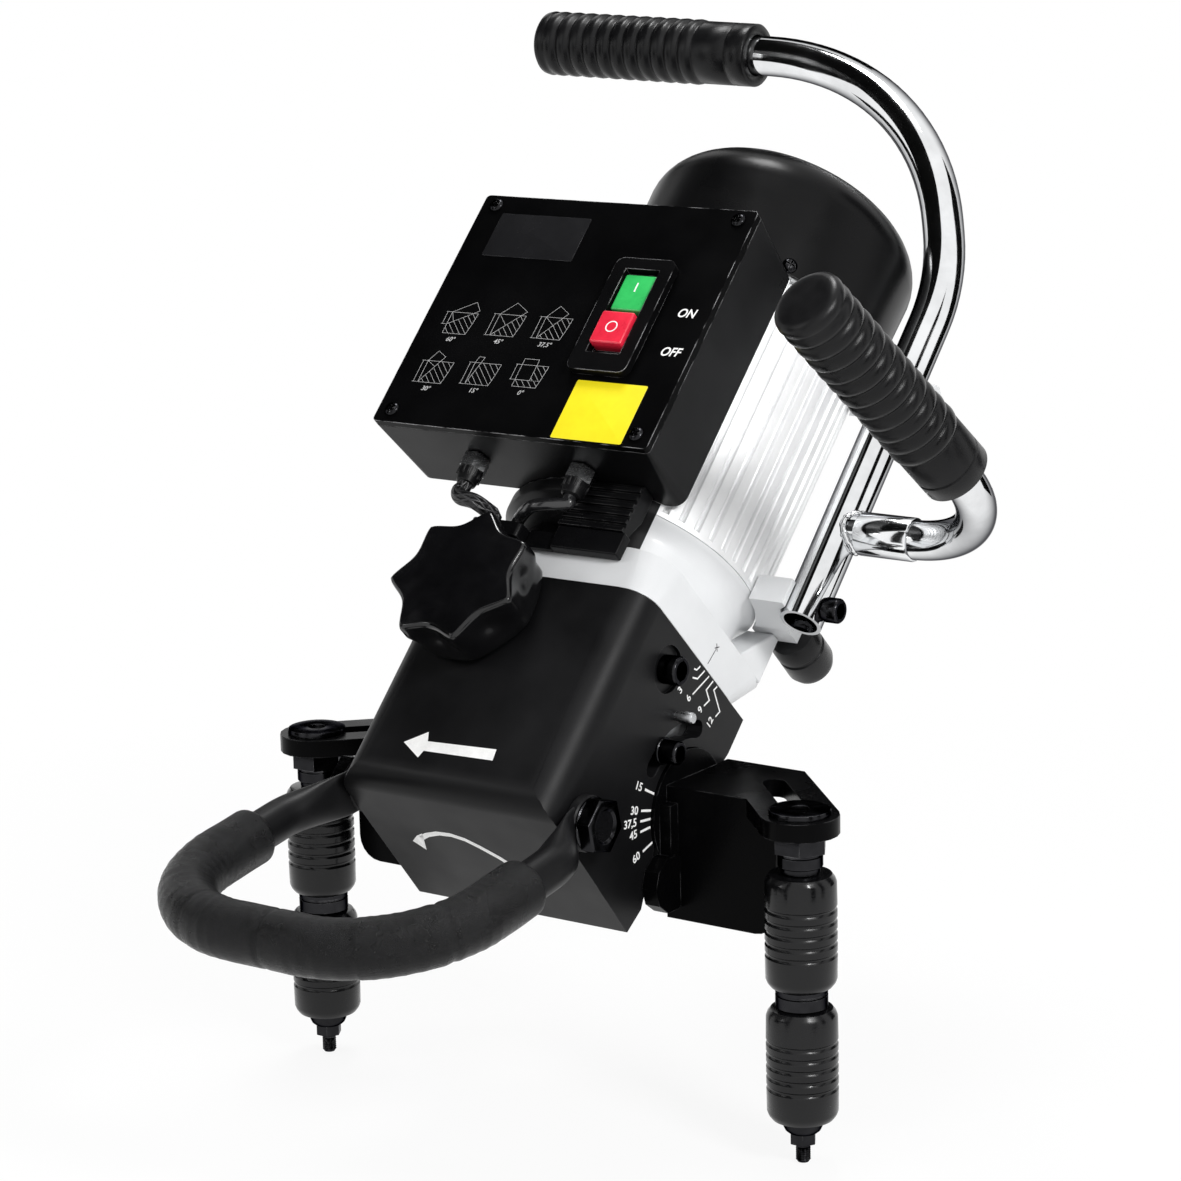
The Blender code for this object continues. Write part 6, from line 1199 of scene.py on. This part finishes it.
for side, (x, forward, radius) in GLANDS.items():
    piece("cable_gland_" + side + "_finished", gland(), plastic, "cable_gland_" + side,
          place=MOTOR @ Matrix.Translation((x * MM, -forward * MM, BOX_LOW * MM)))
    piece("gland_nut_" + side, hexagon(14.0, -9.3, -0.3, 0.8), zinc, body="motor_unit",
          place=MOTOR @ Matrix.Translation((x * MM, -forward * MM, BOX_LOW * MM)))


def smooth_route(points, steps=8):
    """Curve through a lead's own points."""
    route = []
    for index in range(len(points) - 1):
        p0, p1 = points[max(index - 1, 0)], points[index]
        p2, p3 = points[index + 1], points[min(index + 2, len(points) - 1)]
        for step in range(steps):
            t = step / steps
            route.append(((2 * p1) + (p2 - p0) * t + (2 * p0 - 5 * p1 + 4 * p2 - p3) * t * t
                          + (3 * p1 - p0 - 3 * p2 + p3) * t * t * t) / 2)
    return route + [points[-1]]


GLAND_END = BOX_LOW - 18.6
LEAD_LOW = 92.3
LEFT_END, RIGHT_END, LEAD_END_FORWARD = -42.5, -25.5, 75.0
lead_routes = {
    "braided_lead": (((-62.0, -86.0, 131.0), (-62.0, -86.0, GLAND_END), (-63.0, -86.5, 103.5),
                      (-58.5, -88.0, 99.0), (-49.5, -86.0, 98.4), (LEFT_END, -LEAD_END_FORWARD, 97.7), (LEFT_END, -LEAD_END_FORWARD, LEAD_LOW)),
                     4.4, sleeve),
    "smooth_lead": (((9.0, -86.0, 131.0), (9.0, -86.0, GLAND_END), (9.0, -86.0, 104.0),
                     (-8.25, -89.6, 98.15), (RIGHT_END, -LEAD_END_FORWARD, 97.7), (RIGHT_END, -LEAD_END_FORWARD, LEAD_LOW)),
                    3.6, lead_skin)}
for name, (points, radius, skin) in lead_routes.items():
    route = smooth_route([Vector(p) for p in points[:-1]]) + [Vector(points[-1])]
    piece(name + "_finished", swept(route, radius, Vector((0, -1, 0)), 32), skin, name, place=MOTOR, crease=60)

# Main tube, side tube, weld bead and grips
main_path = filleted(MAIN_CORNERS, MAIN_BENDS)
piece("main_handle_tube_finished", swept(main_path, MAIN_TUBE, BACK, 48, TUBE_WALL), chrome, "main_handle_tube",
      place=MOTOR)
side_path = filleted(SIDE_CORNERS, SIDE_BENDS)
side_start = [side_path[0] - Vector((2.5, 0, 0))] + side_path[1:]
piece("side_handle_tube_finished", swept(side_start, SIDE_TUBE, UP, 48, TUBE_WALL), chrome, "side_handle_tube",
      place=MOTOR)
bead = []
for number in range(72):
    angle = math.tau * number / 72
    swell = 1.9 + 0.5 * math.sin(number * 1.9) * math.sin(number * 0.7)
    saddle = MAIN_TUBE * (1 - math.sqrt(1 - (0.86 * math.sin(angle)) ** 2))
    centre = Vector((115.2 - saddle, 25 + (SIDE_TUBE - 0.3) * math.sin(angle), 174 + (SIDE_TUBE - 0.3) * math.cos(angle)))
    out = Vector((0, math.sin(angle), math.cos(angle)))
    along = Vector((1, 0, 0))
    bead.append([(centre + out * (swell * math.cos(math.tau * n / 12)) + along * (swell * math.sin(math.tau * n / 12))) * MM
                 for n in range(12)])
collar = turned([(SIDE_TUBE - 0.2, 0), (SIDE_TUBE + 0.9, 0.3), (SIDE_TUBE + 1.2, 1.0), (SIDE_TUBE + 1.2, 33.0),
                 (SIDE_TUBE + 0.9, 33.7), (SIDE_TUBE - 0.2, 34.0), (SIDE_TUBE - 0.2, 0)], 56)
piece("side_tube_collar", collar, chrome, body="motor_unit",
      place=MOTOR @ Matrix.Translation((116.5 * MM, 25 * MM, 174 * MM)) @ OUTWARD)
piece("weld_bead", bridged(bead, closed=True), chrome, place=MOTOR, body="motor_unit", crease=60)


def grip(length, sleeve, ribs, bore):
    """Ribbed grip from its mouth at height zero to its rounded end."""
    deep = GRIP_RADIUS - 1.8
    profile = [(bore, 0.6), (bore + 0.6, 0.0), (GRIP_RADIUS - 1.6, 0.0), (GRIP_RADIUS - 0.9, 0.8),
               (GRIP_RADIUS - 0.9, sleeve * 0.34), (GRIP_RADIUS - 1.7, sleeve * 0.36), (GRIP_RADIUS - 1.7, sleeve * 0.39),
               (GRIP_RADIUS - 0.9, sleeve * 0.41), (GRIP_RADIUS - 0.9, sleeve - 1.0)]
    pitch = (length - sleeve) / ribs
    for number in range(ribs):
        low = sleeve + number * pitch
        profile += [(deep + 0.1, low + pitch * 0.02), (deep, low + pitch * 0.1), (deep + 0.2, low + pitch * 0.18),
                    (GRIP_RADIUS - 0.35, low + pitch * 0.3), (GRIP_RADIUS, low + pitch * 0.5),
                    (GRIP_RADIUS - 0.25, low + pitch * 0.78), (deep + 0.9, low + pitch * 0.94)]
    top = length + GRIP_CAP
    profile += [(GRIP_RADIUS - 0.6, length + 0.6), (GRIP_RADIUS - 0.1, length + 2.6), (GRIP_RADIUS - 0.7, top - 2.6),
                (GRIP_RADIUS - 2.6, top - 0.9), (GRIP_RADIUS - 5.0, top - 0.2), (GRIP_RADIUS - 8.0, top), (0, top)]
    closing = [(0, length + 1.0), (bore, length + 1.0), (bore, 0.6)]
    return turned(profile + closing, 72)


def on_last_stretch(path, length):
    """Matrix whose Z runs along the end of a path, its zero a length before the end."""
    axis = (path[-1] - path[-2]).normalized()
    start = path[-1] - axis * length
    return Matrix.Translation(start * MM) @ axis.to_track_quat("Z", "Y").to_matrix().to_4x4()


piece("top_grip_finished", grip(146.0, 36.0, 11, MAIN_TUBE + 0.3), rubber, "top_grip",
      place=MOTOR @ on_last_stretch(main_path, 146.0), crease=50)
piece("side_grip_finished", grip(140.0, 30.0, 11, SIDE_TUBE + 0.3), rubber, "side_grip",
      place=MOTOR @ on_last_stretch(side_path, 140.0), crease=50)

buffer = turned([(0, 0), (9.0, 0), (12.4, 1.8), (14.0, 6.0), (14.0, 12.0), (13.2, 13.0), (13.2, 14.5), (14.0, 15.5),
                 (14.0, 28.0), (12.4, 32.2), (9.0, 34.0), (0, 34.0)], 56)
rest_middle = (120.3 + 131.5) / 2
piece("rest_buffer_finished", buffer, rubber, "rest_buffer",
      place=MOTOR @ Matrix.Translation((74.0 * MM, 62.3 * MM, rest_middle * MM)) @ Matrix.Rotation(-90 * DEG, 4, "X"))


# Camera, floor, world and lamps

CAMERA_PLACE = Vector((1.1342, -1.6030, 0.5457))
CAMERA_TURN, CAMERA_FALL, CAMERA_ROLL = 35.5 * DEG, 12.8 * DEG, -1.31 * DEG
FOCAL_SHARE = 3650 / 1181

forward = -Vector((math.sin(CAMERA_TURN) * math.cos(CAMERA_FALL), -math.cos(CAMERA_TURN) * math.cos(CAMERA_FALL),
                   math.sin(CAMERA_FALL)))
right = Vector((math.cos(CAMERA_TURN), math.sin(CAMERA_TURN), 0))
down = forward.cross(right)
rolled_right = right * math.cos(CAMERA_ROLL) - down * math.sin(CAMERA_ROLL)
rolled_down = right * math.sin(CAMERA_ROLL) + down * math.cos(CAMERA_ROLL)
camera_data = bpy.data.cameras.new("camera")
camera_data.sensor_width = 36.0
camera_data.lens = 36.0 * FOCAL_SHARE
camera = bpy.data.objects.new("camera", camera_data)
bpy.context.scene.collection.objects.link(camera)
basis = Matrix((rolled_right, -rolled_down, -forward)).transposed().to_4x4()
camera.matrix_world = Matrix.Translation(CAMERA_PLACE) @ basis
bpy.context.scene.camera = camera
bpy.context.scene.view_settings.view_transform = "Standard"

FLOOR_SIZE = 60.0
floor_mesh = bpy.data.meshes.new("floor")
floor_shape = bmesh.new()
bmesh.ops.create_grid(floor_shape, x_segments=1, y_segments=1, size=FLOOR_SIZE / 2)
floor_shape.transform(Matrix.Translation((0, 0, cad_box[0].z - 0.5 * MM)))
floor_shape.to_mesh(floor_mesh)
floor_shape.free()
floor = bpy.data.objects.new("floor", floor_mesh)
bpy.context.scene.collection.objects.link(floor)

floor_material = bpy.data.materials.new("pale_floor")
floor_material.use_nodes = True
tree = floor_material.node_tree
for old in list(tree.nodes):
    tree.nodes.remove(old)
paths = new_node(tree, "ShaderNodeLightPath").outputs
seen = maths(tree, "MAXIMUM", paths["Is Camera Ray"],
             maths(tree, "MAXIMUM", paths["Is Glossy Ray"], paths["Is Transmission Ray"]))
matt = new_node(tree, "ShaderNodeBsdfDiffuse", {"Color": (0.85, 0.85, 0.85, 1)}).outputs[0]
glow = new_node(tree, "ShaderNodeEmission", {"Color": (1, 1, 1, 1), "Strength": 1.0}).outputs[0]
spot = new_node(tree, "ShaderNodeTexCoord").outputs["Object"]
reach = new_node(tree, "ShaderNodeVectorMath", {0: spot}, operation="LENGTH").outputs["Value"]
share = maths(tree, "MULTIPLY", seen, ranged(tree, reach, 0.25, 0.9, 0.90, 1.0))
blended = new_node(tree, "ShaderNodeMixShader", {0: share, 1: matt, 2: glow}).outputs[0]
new_node(tree, "ShaderNodeOutputMaterial", {"Surface": blended})
floor_mesh.materials.append(floor_material)

world = bpy.data.worlds.new("studio")
world.use_nodes = True
bpy.context.scene.world = world
tree = world.node_tree
for old in list(tree.nodes):
    tree.nodes.remove(old)
paths = new_node(tree, "ShaderNodeLightPath").outputs
seen = maths(tree, "MAXIMUM", paths["Is Camera Ray"],
             maths(tree, "MAXIMUM", paths["Is Glossy Ray"], paths["Is Transmission Ray"]))
dim = new_node(tree, "ShaderNodeBackground", {"Color": (1, 1, 1, 1), "Strength": 0.4}).outputs[0]
white = new_node(tree, "ShaderNodeBackground", {"Color": (1, 1, 1, 1), "Strength": 1.0}).outputs[0]
blended = new_node(tree, "ShaderNodeMixShader", {0: seen, 1: dim, 2: white}).outputs[0]
new_node(tree, "ShaderNodeOutputWorld", {"Surface": blended})

AIM = Vector((0.02, 0.08, 0.12))
for name, place, size, power in (("key_lamp", (1.7, -0.7, 1.3), 0.5, 34.0), ("fill_lamp", (-1.4, -1.6, 1.2), 0.7, 8.0),
                                 ("top_lamp", (-0.3, 0.5, 2.0), 0.6, 22.0)):
    lamp_data = bpy.data.lights.new(name, "AREA")
    lamp_data.size, lamp_data.energy = size, power
    lamp = bpy.data.objects.new(name, lamp_data)
    bpy.context.scene.collection.objects.link(lamp)
    lamp.location = place
    lamp.rotation_mode = "QUATERNION"
    lamp.rotation_quaternion = (Vector(place) - AIM).to_track_quat("Z", "Y")

# Dark cards round the set: only mirror-like rays meet them, so plated tubes get dark streaks and paint stays deep
card_material = bpy.data.materials.new("dark_card")
card_material.use_nodes = True
card_material.node_tree.nodes["Principled BSDF"].inputs["Base Color"].default_value = (0.004, 0.004, 0.004, 1)
card_material.node_tree.nodes["Principled BSDF"].inputs["Specular IOR Level"].default_value = 0.0
STANDING_CARDS = ((54, 0.6), (118, 0.6), (150, 0.2), (182, 0.3), (222, 0.5), (262, 0.25), (338, 0.3), (8, 0.28))
card_places = [(Vector((0.02 + 1.35 * math.cos(turn * DEG), 0.08 + 1.35 * math.sin(turn * DEG), 0.72)), wide, 1.7)
               for turn, wide in STANDING_CARDS]
card_places.append((AIM + Vector((-0.566, -0.2215, 0.794)) * 1.7, 2.3, 2.0))
for number, (place, wide, tall) in enumerate(card_places):
    card_mesh = bpy.data.meshes.new("dark_card_" + str(number + 1))
    card_shape = bmesh.new()
    bmesh.ops.create_grid(card_shape, x_segments=1, y_segments=1, size=0.5)
    bmesh.ops.scale(card_shape, vec=(wide, tall, 1), verts=card_shape.verts)
    facing = Vector((place.x - AIM.x, place.y - AIM.y, 0 if tall == 1.7 else place.z - AIM.z))
    card_shape.transform(Matrix.Translation(place) @ facing.to_track_quat("Z", "Y").to_matrix().to_4x4())
    card_shape.to_mesh(card_mesh)
    card_shape.free()
    card_mesh.materials.append(card_material)
    card = bpy.data.objects.new(card_mesh.name, card_mesh)
    bpy.context.scene.collection.objects.link(card)
    card.visible_camera = card.visible_diffuse = card.visible_shadow = False
